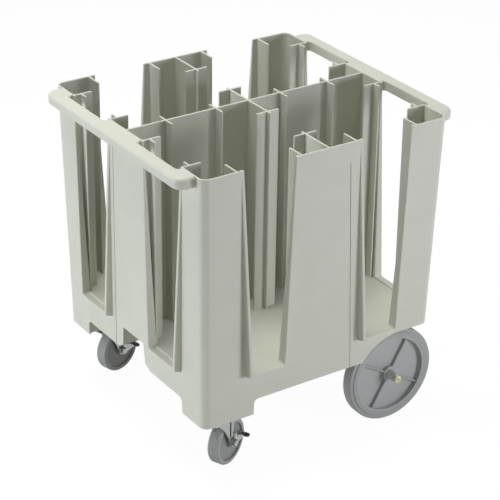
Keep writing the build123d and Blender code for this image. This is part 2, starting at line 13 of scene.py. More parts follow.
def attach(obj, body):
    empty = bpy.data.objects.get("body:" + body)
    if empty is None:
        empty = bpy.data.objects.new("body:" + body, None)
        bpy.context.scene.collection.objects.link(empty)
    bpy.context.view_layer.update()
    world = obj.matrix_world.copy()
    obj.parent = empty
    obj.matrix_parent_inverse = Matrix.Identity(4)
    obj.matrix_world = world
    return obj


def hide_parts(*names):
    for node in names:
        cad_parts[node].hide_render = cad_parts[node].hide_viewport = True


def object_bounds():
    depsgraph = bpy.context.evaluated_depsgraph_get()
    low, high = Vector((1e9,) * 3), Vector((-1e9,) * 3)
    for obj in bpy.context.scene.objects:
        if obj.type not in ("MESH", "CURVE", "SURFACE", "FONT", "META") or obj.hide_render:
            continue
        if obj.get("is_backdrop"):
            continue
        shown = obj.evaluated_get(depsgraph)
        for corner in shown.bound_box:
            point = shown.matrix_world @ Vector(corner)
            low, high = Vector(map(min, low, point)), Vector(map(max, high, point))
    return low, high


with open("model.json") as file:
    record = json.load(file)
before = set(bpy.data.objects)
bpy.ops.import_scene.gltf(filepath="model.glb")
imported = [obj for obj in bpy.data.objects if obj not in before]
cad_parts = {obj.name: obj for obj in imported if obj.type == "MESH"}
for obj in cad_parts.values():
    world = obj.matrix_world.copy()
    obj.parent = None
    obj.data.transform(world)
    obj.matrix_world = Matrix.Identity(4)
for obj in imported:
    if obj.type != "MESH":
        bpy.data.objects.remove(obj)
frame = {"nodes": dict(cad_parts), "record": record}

# Dish caddy: one pale moulding on two braked casters and two large rear wheels.
# Sizes are millimetres in the frame of the solids: +Z up, front end at -X, near side at -Y.

LOG = logging.getLogger("dish_caddy")
MM = 0.001
CAD_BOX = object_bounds()
# Faces that meet under the first angle shade as one, over the second the edge is sharp, under the third flat
SMOOTH_LIMIT = math.radians(40.0)
SHARP_LIMIT = math.radians(32.0)
FLAT_LIMIT = math.radians(0.2)
# Points nearer than this are merged, in metres
WELD = 0.01 * MM
# Share of a direction from which a face or an edge counts as lying that way
FACING = 0.9
# Places nearer than this count as the same
CLOSE = 0.1
WHITE = (1.0, 1.0, 1.0, 1.0)
HERE = Matrix.Identity(4)
HALF_TURN = Matrix.Rotation(math.pi, 4, "Z")
X, Y, Z = range(3)

Piece = bpy.types.Object
Material = bpy.types.Material
Tree = bpy.types.NodeTree
Socket = bpy.types.NodeSocket
Edge = bmesh.types.BMEdge
Face = bmesh.types.BMFace
EdgeTest = Callable[[Edge], bool]
FaceTest = Callable[[Face], bool]
Plan = tuple[float, float, float, float]
Point = tuple[float, float, float]
Spot = tuple[float, float]


class Place(Enum):
    """Wall of the caddy, with its sign along the axis that it faces."""

    @property
    def tag(self) -> str:
        """Name that the solids use for it."""
        return self.name.lower()

    @property
    def axis(self) -> int:
        """Axis that it faces along."""
        return Y if isinstance(self, Side) else X


class Side(Place):
    """Long side of the caddy."""

    NEAR = -1
    FAR = 1


class End(Place):
    """End of the caddy."""

    FRONT = -1
    REAR = 1


class Join(Enum):
    """How one mesh is combined with another."""

    ADD = "UNION"
    CUT = "DIFFERENCE"


class Pick(Enum):
    """What is selected in edit mode."""

    POINTS = "VERT"
    EDGES = "EDGE"
    FACES = "FACE"


class Steps(IntEnum):
    """Segments across a rounding."""

    TINY = 2
    FINE = 3
    PLAIN = 4
    SOFT = 5
    BROAD = 6
    FULL = 8


class Slot(Enum):
    """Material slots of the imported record."""

    BODY = "body_plastic"
    WHEEL = "wheel_plastic"
    GREY_RUBBER = "grey_rubber"
    BLACK_RUBBER = "black_rubber"
    BUSH = "bush_plastic"
    ZINC = "zinc_steel"
    YELLOW_ZINC = "yellow_zinc"


Palette = dict[Slot, Material]


def metres(values: Iterable[float]) -> tuple[float, ...]:
    """Turn millimetres into Blender's metres."""
    return tuple(value * MM for value in values)


def linear(hex_colour: str) -> tuple[float, float, float, float]:
    """Turn an sRGB hex colour into linear light.

    Args:
        hex_colour: six hex digits, with or without a leading mark.

    Returns:
        Red, green, blue and an alpha of 1.
    """
    digits = hex_colour.lstrip("#")
    channels = []
    for start in (0, 2, 4):
        value = int(digits[start:start + 2], 16) / 255
        channels.append(value / 12.92 if value <= 0.04045 else ((value + 0.055) / 1.055) ** 2.4)
    return (*channels, 1.0)


def add_node(tree: Tree, kind: str, inputs: Optional[dict] = None, **settings: object) -> bpy.types.Node:
    """Add one node with its settings, values and links.

    Args:
        tree: node tree that gets the node.
        kind: Blender's name for the node.
        inputs: socket name or number, with a value or an output socket to link from.
        settings: properties set on the node itself.

    Returns:
        The new node.
    """
    node = tree.nodes.new(kind)
    for name, value in settings.items():
        setattr(node, name, value)
    for key, value in (inputs or {}).items():
        if isinstance(value, Socket):
            tree.links.new(value, node.inputs[key])
        else:
            node.inputs[key].default_value = value
    return node


def empty_tree(owner: Material | bpy.types.World) -> Tree:
    """Clear the nodes of a new material or world.

    Args:
        owner: material or world.

    Returns:
        Its node tree.
    """
    owner.use_nodes = True
    owner.node_tree.nodes.clear()
    return owner.node_tree


# Finishes


@dataclass(frozen=True)
class Finish:
    """Surface whose colour and roughness drift together, after the pattern of its kind of material."""

    name: str
    colour: str
    drift_colour: str
    roughness: float
    smoother: float
    rougher: float

    def pattern(self, tree: Tree, place: Socket) -> tuple[Socket, dict]:
        """Nodes of the pattern: the tone that the drift follows, and what else the shader gets."""
        raise NotImplementedError

    def build(self) -> Material:
        """Make the material from its pattern.

        Returns:
            The new material.
        """
        material = bpy.data.materials.new(self.name)
        tree = empty_tree(material)
        tone, inputs = self.pattern(tree, add_node(tree, "ShaderNodeTexCoord").outputs["Object"])
        # Sockets 0, 6 and 7 of the mix are its share and its two colours
        colours = {0: tone, 6: linear(self.colour), 7: linear(self.drift_colour)}
        limits = {"To Min": self.roughness - self.smoother, "To Max": self.roughness + self.rougher}
        gloss = add_node(tree, "ShaderNodeMapRange", {"Value": tone, **limits})
        inputs["Base Color"] = add_node(tree, "ShaderNodeMix", colours, data_type="RGBA").outputs[2]
        inputs["Roughness"] = gloss.outputs["Result"]
        shader = add_node(tree, "ShaderNodeBsdfPrincipled", inputs)
        add_node(tree, "ShaderNodeOutputMaterial", {"Surface": shader.outputs[0]})
        return material


@dataclass(frozen=True)
class MouldedPlastic(Finish):
    """Moulded plastic or rubber: an even colour with faint clouds, and a satin grain from the mould."""

    roughness: float = 0.46
    smoother: float = 0.06
    rougher: float = 0.06
    ior: float = 1.52
    cloud_size: float = 70.0
    grain_size: float = 1.6
    grain_depth: float = 0.05
    grain_strength: float = 0.35
    # Layers of each noise, and what share of a layer the next finer one has
    cloud_layers: Spot = (3.0, 0.55)
    grain_layers: Spot = (2.0, 0.6)

    def pattern(self, tree: Tree, place: Socket) -> tuple[Socket, dict]:
        """Clouds for the drift, and the grain as bump.

        Args:
            tree: node tree of the material.
            place: coordinates of the pattern.

        Returns:
            The clouds, and what else the shader gets.
        """
        # Grit of the mould is finer than a pixel, so it is drawn a little coarser than the real one
        noises = []
        kinds = ((self.cloud_size, self.cloud_layers), (self.grain_size, self.grain_layers))
        for size, (detail, rough) in kinds:
            inputs = {"Vector": place, "Scale": 1 / (size * MM), "Detail": detail, "Roughness": rough}
            noises.append(add_node(tree, "ShaderNodeTexNoise", inputs).outputs["Fac"])
        cloud, grain = noises
        relief = {"Height": grain, "Strength": self.grain_strength, "Distance": self.grain_depth * MM}
        bump = add_node(tree, "ShaderNodeBump", relief)
        return cloud, {"IOR": self.ior, "Normal": bump.outputs["Normal"]}


@dataclass(frozen=True)
class PlatedSteel(Finish):
    """Pressed steel with a bright plating: soft reflections, broken up by the plating's crystals."""

    smoother: float = 0.03
    rougher: float = 0.05
    crystal_size: float = 1.5

    def pattern(self, tree: Tree, place: Socket) -> tuple[Socket, dict]:
        """Crystals of the plating, each with a tone of its own.

        Args:
            tree: node tree of the material.
            place: coordinates of the pattern.

        Returns:
            The crystals' tone, and what else the shader gets.
        """
        # Crystals are too fine to see, so they are drawn coarser, near a pixel's size
        inputs = {"Vector": place, "Scale": 1 / (self.crystal_size * MM)}
        cells = add_node(tree, "ShaderNodeTexVoronoi", inputs)
        tone = add_node(tree, "ShaderNodeSeparateColor", {"Color": cells.outputs["Color"]})
        return tone.outputs["Red"], {"Metallic": 1.0}


# Stiff plastic of the caster wheels' centres, a little less glossy than the large wheels; its darker grey is
# painted shade, a shaded copy of the wheels' plastic for the casters' flanks
CASTER_CENTRE_PAINTED_SHADE = MouldedPlastic("moulded_polypropylene_mid_grey", "#8F918D", "#878985", roughness=0.45)
RUBBER_GRAIN = {"grain_size": 2.2, "grain_depth": 0.1}
FINISHES = {
    # Pale green-grey body: thick soft plastic with a satin, slightly waxy sheen
    Slot.BODY: MouldedPlastic("moulded_polyethylene_pale_grey", "#D2D4C6", "#CBCDBE"),
    # Stiff neutral grey plastic, a little glossier than the body
    Slot.WHEEL: MouldedPlastic("moulded_polypropylene_grey", "#AFB1AE", "#A7A9A6", roughness=0.4),
    # Matt grey rubber that marks no floors, with a coarser grain
    Slot.GREY_RUBBER: MouldedPlastic("moulded_grey_rubber", "#A6A8A4", "#9D9F9B", 0.6, **RUBBER_GRAIN),
    # Soft near-black grip with a dull sheen
    Slot.BLACK_RUBBER: MouldedPlastic("moulded_black_rubber", "#3C403D", "#333735", 0.55, **RUBBER_GRAIN),
    # Hard, almost polished plastic that catches highlights; its pale colour is painted highlight, standing
    # in for bright reflections and lightening the shade on the bush
    Slot.BUSH: MouldedPlastic("moulded_nylon_pale_grey", "#D2D5D6", "#C4C7C8", roughness=0.16),
    # Cool bright metal that mirrors its surroundings softly
    Slot.ZINC: PlatedSteel("bright_zinc_plated_steel", "#A9ABA8", "#A2A4A1", roughness=0.26),
    # Pale gold metal, duller than the bright plating
    Slot.YELLOW_ZINC: PlatedSteel("yellow_zinc_plated_steel", "#DDD8AE", "#C2BB86", roughness=0.34),
}


# Modelling by operators


def take_up(piece: Piece) -> None:
    """Deselect everything, then select one piece and make it active.

    Args:
        piece: object to work on.
    """
    bpy.ops.object.select_all(action="DESELECT")
    piece.select_set(True)
    bpy.context.view_layer.objects.active = piece


def primitive(name: str, add: Callable, **settings: object) -> Piece:
    """Add a primitive and put its place into its mesh.

    Args:
        name: name of the piece.
        add: operator that adds the primitive.
        settings: what the operator gets.

    Returns:
        The piece, at the origin, unturned and unscaled.
    """
    bpy.ops.object.select_all(action="DESELECT")
    add(**settings)
    bpy.ops.object.transform_apply(location=True, rotation=True, scale=True)
    piece = bpy.context.object
    piece.name = name
    piece.data.name = name
    return piece


def enter_edit(piece: Piece, kind: Pick) -> None:
    """Go to edit mode on one piece.

    Args:
        piece: mesh to work on.
        kind: what is selected there.
    """
    take_up(piece)
    bpy.ops.object.mode_set(mode="EDIT")
    bpy.ops.mesh.select_mode(type=kind.value)


def leave_edit() -> None:
    """Go back to object mode."""
    bpy.ops.object.mode_set(mode="OBJECT")


def pick(piece: Piece, kind: Pick, test: EdgeTest | FaceTest) -> None:
    """Go to edit mode with the edges or faces selected that pass a test.

    Args:
        piece: mesh to work on.
        kind: edges or faces.
        test: what they have to pass.
    """
    enter_edit(piece, kind)
    bpy.ops.mesh.select_all(action="DESELECT")
    edit = bmesh.from_edit_mesh(piece.data)
    for part in edit.faces if kind is Pick.FACES else edit.edges:
        part.select_set(test(part))
    bmesh.update_edit_mesh(piece.data)


def points(edge: Edge) -> list[Vector]:
    """Both points of an edge, in millimetres."""
    return [vert.co / MM for vert in edge.verts]


def is_sharp(edge: Edge) -> bool:
    """Whether an edge's two faces meet at a clear angle."""
    return len(edge.link_faces) == 2 and edge.calc_face_angle(0.0) > SHARP_LIMIT


def runs_up(edge: Edge) -> bool:
    """Whether an edge runs mostly along Z."""
    low, high = sorted(point.z for point in points(edge))
    return (high - low) * MM > FACING * edge.calc_length()


def runs(axis: int, least: float) -> EdgeTest:
    """Test for edges that run further than a length along an axis."""
    return lambda edge: abs(points(edge)[1][axis] - points(edge)[0][axis]) > least


def lies(axis: int, low: float = -math.inf, high: float = math.inf) -> EdgeTest:
    """Test for edges that lie wholly between two places along an axis."""
    return lambda edge: all(low < point[axis] < high for point in points(edge))


def reaches(height: float) -> EdgeTest:
    """Test for edges that come above a height."""
    return lambda edge: max(point.z for point in points(edge)) > height


def round_edges(piece: Piece, radius: float, steps: Steps, *tests: EdgeTest) -> None:
    """Bevel the edges that pass every test.

    Args:
        piece: mesh to work on.
        radius: size of the rounding.
        steps: segments across the rounding.
        tests: what an edge has to pass; with none given, sharp edges are rounded.
    """
    pick(piece, Pick.EDGES, lambda edge: all(test(edge) for test in tests or (is_sharp,)))
    bpy.ops.mesh.bevel(offset=radius * MM, segments=steps, affect="EDGES", clamp_overlap=False)
    leave_edit()


def through(across: Place, inner: float, outer: float, left: float, right: float) -> Plan:
    """Plan of a form that lies across a wall.

    Args:
        across: wall.
        inner: distance of its inner face from the middle.
        outer: distance of its outer face.
        left: place of one end along the wall.
        right: place of the other end.

    Returns:
        Lowest x, highest x, lowest y and highest y.
    """
    faces = sorted((across.value * inner, across.value * outer))
    ends = sorted((left, right))
    return (*ends, *faces) if across.axis == Y else (*faces, *ends)


def tapered_block(name: str, low: float, low_plan: Plan, high: float, high_plan: Plan) -> Piece:
    """Cube at its size and place, its top face then resized and moved to another plan.

    Args:
        name: name of the piece.
        low: height of the bottom face.
        low_plan: lowest x, highest x, lowest y and highest y of the bottom face.
        high: height of the top face.
        high_plan: the same for the top face.

    Returns:
        The piece.
    """
    x0, x1, y0, y1 = low_plan
    a0, a1, b0, b1 = high_plan
    middle = ((x0 + x1) / 2, (y0 + y1) / 2)
    place = metres((*middle, (low + high) / 2))
    size = metres((x1 - x0, y1 - y0, high - low))
    piece = primitive(name, bpy.ops.mesh.primitive_cube_add, size=1, location=place, scale=size)
    if high_plan != low_plan:
        pick(piece, Pick.FACES, lambda face: face.normal.z > FACING)
        grow = ((a1 - a0) / (x1 - x0), (b1 - b0) / (y1 - y0), 1)
        bpy.ops.transform.resize(value=grow, center_override=metres((*middle, high)))
        bpy.ops.transform.translate(value=metres(((a0 + a1 - x0 - x1) / 2, (b0 + b1 - y0 - y1) / 2, 0)))
        leave_edit()
    return piece


def lofted(name: str, low: float, high: float, plan_at: Callable[[float], Plan]) -> Piece:
    """Tapered block whose plan follows from the height."""
    return tapered_block(name, low, plan_at(low), high, plan_at(high))


def block(name: str, plan: Plan, low: float, high: float) -> Piece:
    """Straight block on a plan, between two heights."""
    return tapered_block(name, low, plan, high, plan)


def rod(name: str, radius: float, spot: Point, reach: Point, sides: int = 64) -> Piece:
    """Rod from one point to another, as a cutter or the start of a piece.

    Args:
        name: name of the piece.
        radius: radius round the line.
        spot: middle of one end.
        reach: middle of the other end.
        sides: segments round it.

    Returns:
        The piece.
    """
    start, stop = Vector(metres(spot)), Vector(metres(reach))
    way = stop - start
    size = {"vertices": sides, "radius": radius * MM, "depth": way.length}
    place = {"location": (start + stop) / 2, "rotation": way.to_track_quat("Z", "X").to_euler()}
    return primitive(name, bpy.ops.mesh.primitive_cylinder_add, **size, **place)


def hexagon(name: str, across: float, spot: Point, reach: Point, edge: float) -> Piece:
    """Nut or bolt head with broken edges, from one point to another.

    Args:
        name: name of the piece.
        across: size over the flats.
        spot: middle of one end.
        reach: middle of the other end.
        edge: size of the rounding.

    Returns:
        The piece.
    """
    piece = rod(name, across / math.sqrt(3), spot, reach, sides=6)
    round_edges(piece, edge, Steps.TINY)
    return piece


def turned(name: str, profile: Sequence[Spot], spot: Point, steps: int = 96) -> Piece:
    """Ring round a level axis: a point is extruded from corner to corner and the line is spun.

    Args:
        name: name of the piece.
        profile: corners in order, each as radius and place along Y from the spot.
        spot: point on the axis.
        steps: segments of the full turn.

    Returns:
        The piece.
    """
    x, y, z = spot
    corners = [Vector((x, y + place, z + radius)) for radius, place in profile]
    piece = primitive(name, bpy.ops.mesh.primitive_plane_add, size=MM, location=corners[0] * MM)
    enter_edit(piece, Pick.POINTS)
    bpy.ops.mesh.select_all(action="SELECT")
    bpy.ops.mesh.merge(type="CENTER")
    for start, stop in zip(corners, corners[1:] + corners[:1]):
        bpy.ops.mesh.extrude_region_move(TRANSFORM_OT_translate={"value": (stop - start) * MM})
    bpy.ops.mesh.select_all(action="SELECT")
    bpy.ops.mesh.remove_doubles(threshold=WELD)
    bpy.ops.mesh.spin(steps=steps, angle=2 * math.pi, center=metres(spot), axis=(0, 1, 0))
    bpy.ops.mesh.select_all(action="SELECT")
    bpy.ops.mesh.remove_doubles(threshold=WELD)
    bpy.ops.mesh.normals_make_consistent(inside=False)
    leave_edit()
    return piece


def combine(piece: Piece, tools: Sequence[Piece], how: Join) -> None:
    """Add or cut other meshes by Boolean modifiers, and delete them.

    Args:
        piece: mesh that is kept.
        tools: meshes that are used up.
        how: add or cut.
    """
    for tool in tools:
        take_up(piece)
        bpy.ops.object.modifier_add(type="BOOLEAN")
        modifier = piece.modifiers[-1]
        modifier.operation = how.value
        modifier.solver = "EXACT"
        modifier.object = tool
        bpy.ops.object.modifier_apply(modifier=modifier.name)
        bpy.data.objects.remove(tool, do_unlink=True)


def weld(piece: Piece, flatten: bool = False) -> None:
    """Merge the doubled points that a Boolean leaves.

    Args:
        piece: mesh to work on.
        flatten: whether lines across flat faces are dissolved too, before edges are rounded.
    """
    enter_edit(piece, Pick.POINTS)
    bpy.ops.mesh.select_all(action="SELECT")
    bpy.ops.mesh.remove_doubles(threshold=WELD)
    if flatten:
        bpy.ops.mesh.dissolve_limited(angle_limit=FLAT_LIMIT)
    leave_edit()


def circle_through(a: Spot, b: Spot, c: Spot) -> tuple[Spot, float]:
    """Circle through three points of a plane.

    Args:
        a: first point.
        b: second point.
        c: third point.

    Returns:
        Its middle and its radius.
    """
    (ax, ay), (bx, by), (cx, cy) = a, b, c
    twice = 2 * (ax * (by - cy) + bx * (cy - ay) + cx * (ay - by))
    sa, sb, sc = ax * ax + ay * ay, bx * bx + by * by, cx * cx + cy * cy
    x = (sa * (by - cy) + sb * (cy - ay) + sc * (ay - by)) / twice
    y = (sa * (cx - bx) + sb * (ax - cx) + sc * (bx - ax)) / twice
    return (x, y), math.hypot(ax - x, ay - y)


def copy_of(piece: Piece, name: str) -> Piece:
    """Copy of a piece with its own mesh.

    Args:
        piece: mesh to copy.
        name: name of the copy.

    Returns:
        The copy.
    """
    twin = piece.copy()
    twin.data = piece.data.copy()
    twin.name = name
    twin.data.name = name
    bpy.context.scene.collection.objects.link(twin)
    return twin


def move_to(piece: Piece, place: Matrix) -> None:
    """Move and turn a piece, and put that into its mesh.

    Args:
        piece: mesh to move.
        place: where it goes.
    """
    piece.matrix_world = place
    take_up(piece)
    bpy.ops.object.transform_apply(location=True, rotation=True, scale=True)


def dress(piece: Piece, material: Material) -> None:
    """Shade a finished piece smoothly between its flat faces and give it its material.

    Args:
        piece: finished mesh.
        material: its material.
    """
    take_up(piece)
    bpy.ops.object.shade_smooth_by_angle(angle=SMOOTH_LIMIT)
    bpy.ops.object.modifier_add(type="WEIGHTED_NORMAL")
    modifier = piece.modifiers[-1]
    modifier.keep_sharp = True
    bpy.ops.object.modifier_apply(modifier=modifier.name)
    piece.data.materials.clear()
    piece.data.materials.append(material)


def hand_over(piece: Piece, body: str, slot: Slot, nodes: Sequence[str], materials: Palette) -> None:
    """Dress a piece, and let it ride on its body and stand for its solids.

    Args:
        piece: finished mesh.
        body: body of the frame that carries it.
        slot: material slot of the record.
        nodes: solids that the piece replaces.
        materials: built material of each slot.
    """
    dress(piece, materials[slot])
    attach(piece, body)
    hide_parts(*nodes)
    LOG.info("piece %s rides on %s, %d faces", piece.name, body, len(piece.data.polygons))


def hand_over_pair(
    piece: Piece, places: dict[Place, Matrix], body: str, slot: Slot, node: str, materials: Palette
) -> None:
    """Copy a piece to the opposite wall, put both in place and hand them over.

    Args:
        piece: finished mesh, named for the first of the two walls.
        places: both walls, each with where its piece goes.
        body: body that carries them, with braces where the wall's tag stands.
        slot: material slot of the record.
        node: name of the solids, without the tag.
        materials: built material of each slot.
    """
    first, other = places
    twin = copy_of(piece, piece.name.replace(first.tag, other.tag))
    for (wall, place), each in zip(places.items(), (piece, twin)):
        move_to(each, place)
        hand_over(each, body.format(wall.tag), slot, [f"{node}_{wall.tag}"], materials)


# Sub-assemblies


@dataclass
class Moulding:
    """Pale moulding: leaning walls with slots, windows and lips, deck, feet, ribs and guides."""

    rim: float = 845.9
    length: float = 718.0
    width: float = 703.0
    wall: float = 5.5
    draft: float = 1.3
    corner: float = 22.0
    deck_top: float = 294.0
    deck_low: float = 288.0
    skirt_low: float = 205.0
    foot_low: float = 162.0
    # Widths of an opening at the rim and at the deck
    slot: Spot = (146.0, 92.0)
    slot_centre: float = 171.0
    window: Spot = (170.0, 114.0)
    window_centre: float = 168.0
    sill_round: float = 6.0
    lip: float = 9.0
    lip_edge: float = 2.6
    slot_lip_reach: float = 23.0
    window_lip_reach: float = 19.0
    lip_drop: float = 8.8
    lip_start: float = 840.0
    lip_core: float = 3.0
    threshold: float = 4.0
    proud: float = 0.3
    # Widths of a panel's field at its top and bottom
    side_field: Spot = (130.0, 205.0)
    end_field: Spot = (130.0, 184.0)
    field_top: float = 795.0
    field_low: float = 142.0
    field_depth: float = 2.0
    field_slope: float = 1.5
    field_fall: float = 8.0
    side_flanges: tuple[float, ...] = (-262.0, -80.0, 80.0, 262.0)
    side_tip: float = 296.0
    web_tip: float = 233.0
    tee_face: float = 244.0
    tee_half: float = 33.0
    end_flanges: tuple[float, ...] = (-257.0, -77.0, 77.0, 257.0)
    end_tip: float = 304.0
    stub_place: float = 335.0
    stub: float = 25.0
    foot_length: float = 163.0
    foot_width: float = 118.0
    foot_pad: float = 6.0
    foot_blend: float = 12.0
    foot_edge: float = 8.0
    # Half width and height of the notch, from its mouth to its top
    notch: tuple[Spot, ...] = ((76.0, 205.0), (55.0, 217.0), (50.0, 272.0))
    notch_return: float = 60.0
    rib_face: float = 267.0
    arch_place: float = 249.0
    arch_height: float = 132.0
    arch_radius: float = 132.5
    edge: float = 2.0
    # Faces stay a hair apart, since Booleans go wrong where faces share a plane
    hair: float = 0.2
    # How far parts bite into each other, and how far cutters run past the walls
    bite: float = 1.0
    spare: float = 60.0

    @property
    def foot_inner(self) -> Spot:
        """Distances of a foot's inner walls from the middle, along X and Y."""
        return (self.half(End.FRONT) - self.foot_length, self.half(Side.FAR) - self.foot_width)

    def half(self, across: Place) -> float:
        """Half of the width or length over the rim, out to a wall."""
        return (self.width if isinstance(across, Side) else self.length) / 2

    def lean(self, height: float) -> float:
        """How far the outer faces have come in from the rim at a height."""
        return (self.rim - height) * math.tan(math.radians(self.draft))

    def face(self, across: Place, height: float, inset: float = 0.0) -> float:
        """Distance of a wall's leaning outer face from the middle at a height, less an inset."""
        return self.half(across) - self.lean(height) - inset

    def lip_out(self, across: Place, height: float) -> float:
        """How far the lips in a wall stand out of its leaning face at a height."""
        reach = self.slot_lip_reach if isinstance(across, Side) else self.window_lip_reach
        return reach * (self.lip_start - height) / (self.lip_start - self.deck_top)

    def half_opening(self, across: Place, rise: float) -> float:
        """Half width of a slot or window at a height above its sill."""
        at_rim, at_deck = self.slot if isinstance(across, Side) else self.window
        return at_deck / 2 + rise * (at_rim - at_deck) / 2 / (self.rim - self.deck_top)

    def leaning(self, name: str, low: float, high: float, inset: float, steps: Steps = Steps.FULL) -> Piece:
        """Leaning block with rounded corners.

        Args:
            name: name of the piece.
            low: height of its bottom.
            high: height of its top.
            inset: how far its faces lie inside the outer ones.
            steps: segments across a corner.

        Returns:
            The piece.
        """

        def plan_at(height: float) -> Plan:
            """Plan of the block at a height."""
            x, y = (self.face(wall, height, inset) for wall in (End.REAR, Side.FAR))
            return (-x, x, -y, y)

        piece = lofted(name, low, high, plan_at)
        round_edges(piece, self.corner - inset, steps, runs_up)
        return piece

    def opening(self, across: Place, centre: float, grow: float) -> Piece:
        """Cutter for a slot (through a long side) or a window (through an end).

        Args:
            across: wall that it goes through.
            centre: place along that wall.
            grow: how far its sides and sill are moved out.

        Returns:
            The cutter, with round corners at the sill unless it is grown.
        """
        low = self.deck_top - grow
        span = (self.half(across) - self.spare, self.half(across) + self.spare)

        def plan_at(height: float) -> Plan:
            """Plan of the cutter at a height."""
            half = self.half_opening(across, height - low) + grow
            return through(across, *span, centre - half, centre + half)

        piece = lofted("opening", low, self.rim + self.spare, plan_at)
        if grow == 0:
            at_sill = (runs(across.axis, self.spare), lies(Z, high=self.rim))
            round_edges(piece, self.sill_round, Steps.PLAIN, *at_sill)
        return piece

    def lip_frame(self, across: Place, centre: float) -> Piece:
        """Frame round a slot or window that stands out more and more towards its sill.

        Args:
            across: wall that it is in.
            centre: place along that wall.

        Returns:
            The frame, with rounded edges, and a ridge behind a window's sill.
        """
        out, along = across.axis, X + Y - across.axis

        def plan_at(height: float) -> Plan:
            """Plan of the frame.

            Args:
                height: where the frame is cut.

            Returns:
                The plan at that height.
            """
            half = self.half_opening(across, height - self.deck_low) + self.lip
            face = self.face(across, height)
            span = (face - self.wall - self.proud, face + self.lip_out(across, height))
            return through(across, *span, centre - half, centre + half)

        def at_foot_of_wall(edge: Edge) -> bool:
            """Whether an edge is the frame's bottom edge inside the wall."""
            inside = all(point[out] * across.value < self.half(across) for point in points(edge))
            return inside and lies(Z, high=self.deck_top)(edge)

        def shows(edge: Edge) -> bool:
            """Tell whether an edge is on the frame's outer face or round its opening.

            Args:
                edge: edge of the frame.

            Returns:
                Whether it is seen from outside.
            """
            outer = any(face.normal[out] * across.value > FACING for face in edge.link_faces)
            spot = sum(points(edge), Vector()) / 2
            half = self.half_opening(across, spot.z - self.deck_top) + self.lip / 2
            return outer or (abs(spot[along] - centre) < half and spot.z > self.deck_low + self.bite)

        piece = lofted("lip", self.deck_low, self.rim, plan_at)
        pick(piece, Pick.EDGES, at_foot_of_wall)
        sill_half = self.half_opening(across, 0)
        narrow = [1.0, 1.0, 1.0]
        narrow[along] -= (self.half_opening(across, self.lip_drop) - sill_half) / (sill_half + self.lip)
        middle = [0.0, 0.0, 0.0]
        middle[along] = centre * MM
        bpy.ops.transform.resize(value=narrow, center_override=middle)
        bpy.ops.transform.translate(value=metres((0, 0, -self.lip_drop)))
        leave_edit()
        combine(piece, [self.opening(across, centre, 0)], Join.CUT)
        weld(piece, flatten=True)
        round_edges(piece, self.lip_edge, Steps.FINE, is_sharp, shows)
        if isinstance(across, End):
            combine(piece, [self.threshold_ridge(across, centre)], Join.ADD)
        return piece

    def threshold_ridge(self, end: End, centre: float) -> Piece:
        """Low ridge in the plane of the wall, between a window's sill and the deck.

        Args:
            end: end wall that the window is in.
            centre: place along that wall.

        Returns:
            The ridge, with a rounded top.
        """
        face = self.face(end, self.deck_top)
        half = self.half_opening(end, 0) + self.lip_core
        plan = through(end, face - self.wall, face, centre - half, centre + half)
        piece = block("threshold", plan, self.deck_low + self.bite, self.deck_top + self.threshold)
        round_edges(piece, self.edge, Steps.FINE, lies(Z, self.deck_top))
        return piece

    def lip_frames(self) -> list[Piece]:
        """Frames of all slots and windows: one of each kind is modelled, the others are copies.

        Returns:
            The frames.
        """
        made = []
        for across, centre, step in (
            (Side.NEAR, self.slot_centre, (-2 * self.slot_centre, 0, 0)),
            (End.FRONT, self.window_centre, (0, -2 * self.window_centre, 0)),
        ):
            first = self.lip_frame(across, centre)
            beside = Matrix.Translation(metres(step))
            for place in (beside, HALF_TURN, HALF_TURN @ beside):
                made.append(copy_of(first, "lip"))
                move_to(made[-1], place)
            made.append(first)
        return made

    def plate(self, plan_at: Callable[[float], Plan], hairs: int = 1, name: str = "plate") -> Piece:
        """Guide plate from the deck to a hair or more under the rim, with rounded top and free edges.

        Args:
            plan_at: plan of the plate at a height.
            hairs: how many hairs it ends under the rim.
            name: name of the piece.

        Returns:
            The piece.
        """
        foot = self.deck_low + self.bite
        piece = tapered_block(name, foot, plan_at(foot), self.rim - hairs * self.hair, plan_at(self.rim))
        round_edges(piece, self.edge, Steps.FINE, reaches(foot + self.bite))
        return piece

    def upright(self, plan: Plan, hairs: int = 2, name: str = "plate") -> Piece:
        """Straight guide plate, given by its plan."""
        return self.plate(lambda height: plan, hairs, name)

    def wall_plate(self, across: Place, middle: float, tip: float) -> Piece:
        """Guide plate square to a wall, from a tip inside the caddy to the middle of the wall.

        Args:
            across: wall that it stands against.
            middle: place along that wall.
            tip: distance of its free edge from the caddy's middle.

        Returns:
            The plate.
        """
        half = self.wall / 2
        ends = (middle - half, middle + half)
        return self.plate(lambda height: through(across, tip, self.face(across, height, half), *ends))

    def guides(self) -> list[Piece]:
        """Flanges, stubs and tees that stand along the outer walls.

        Returns:
            The plates.
        """
        half = self.wall / 2
        made = []
        for side in Side:
            made += [self.wall_plate(side, x, self.side_tip) for x in self.side_flanges]
            made.append(self.wall_plate(side, 0.0, self.web_tip))
            tee = (self.tee_face, self.tee_face + self.wall)
            made.append(self.upright(through(side, *tee, -self.tee_half, self.tee_half)))
        for end in End:
            for y in self.end_flanges:
                made.append(self.wall_plate(end, y, self.end_tip))
                reach = y + math.copysign(self.stub, math.copysign(self.window_centre, y) - y)
                faces = (self.stub_place - half, self.stub_place + half)
                made.append(self.upright(through(end, *faces, y, reach)))
        return made

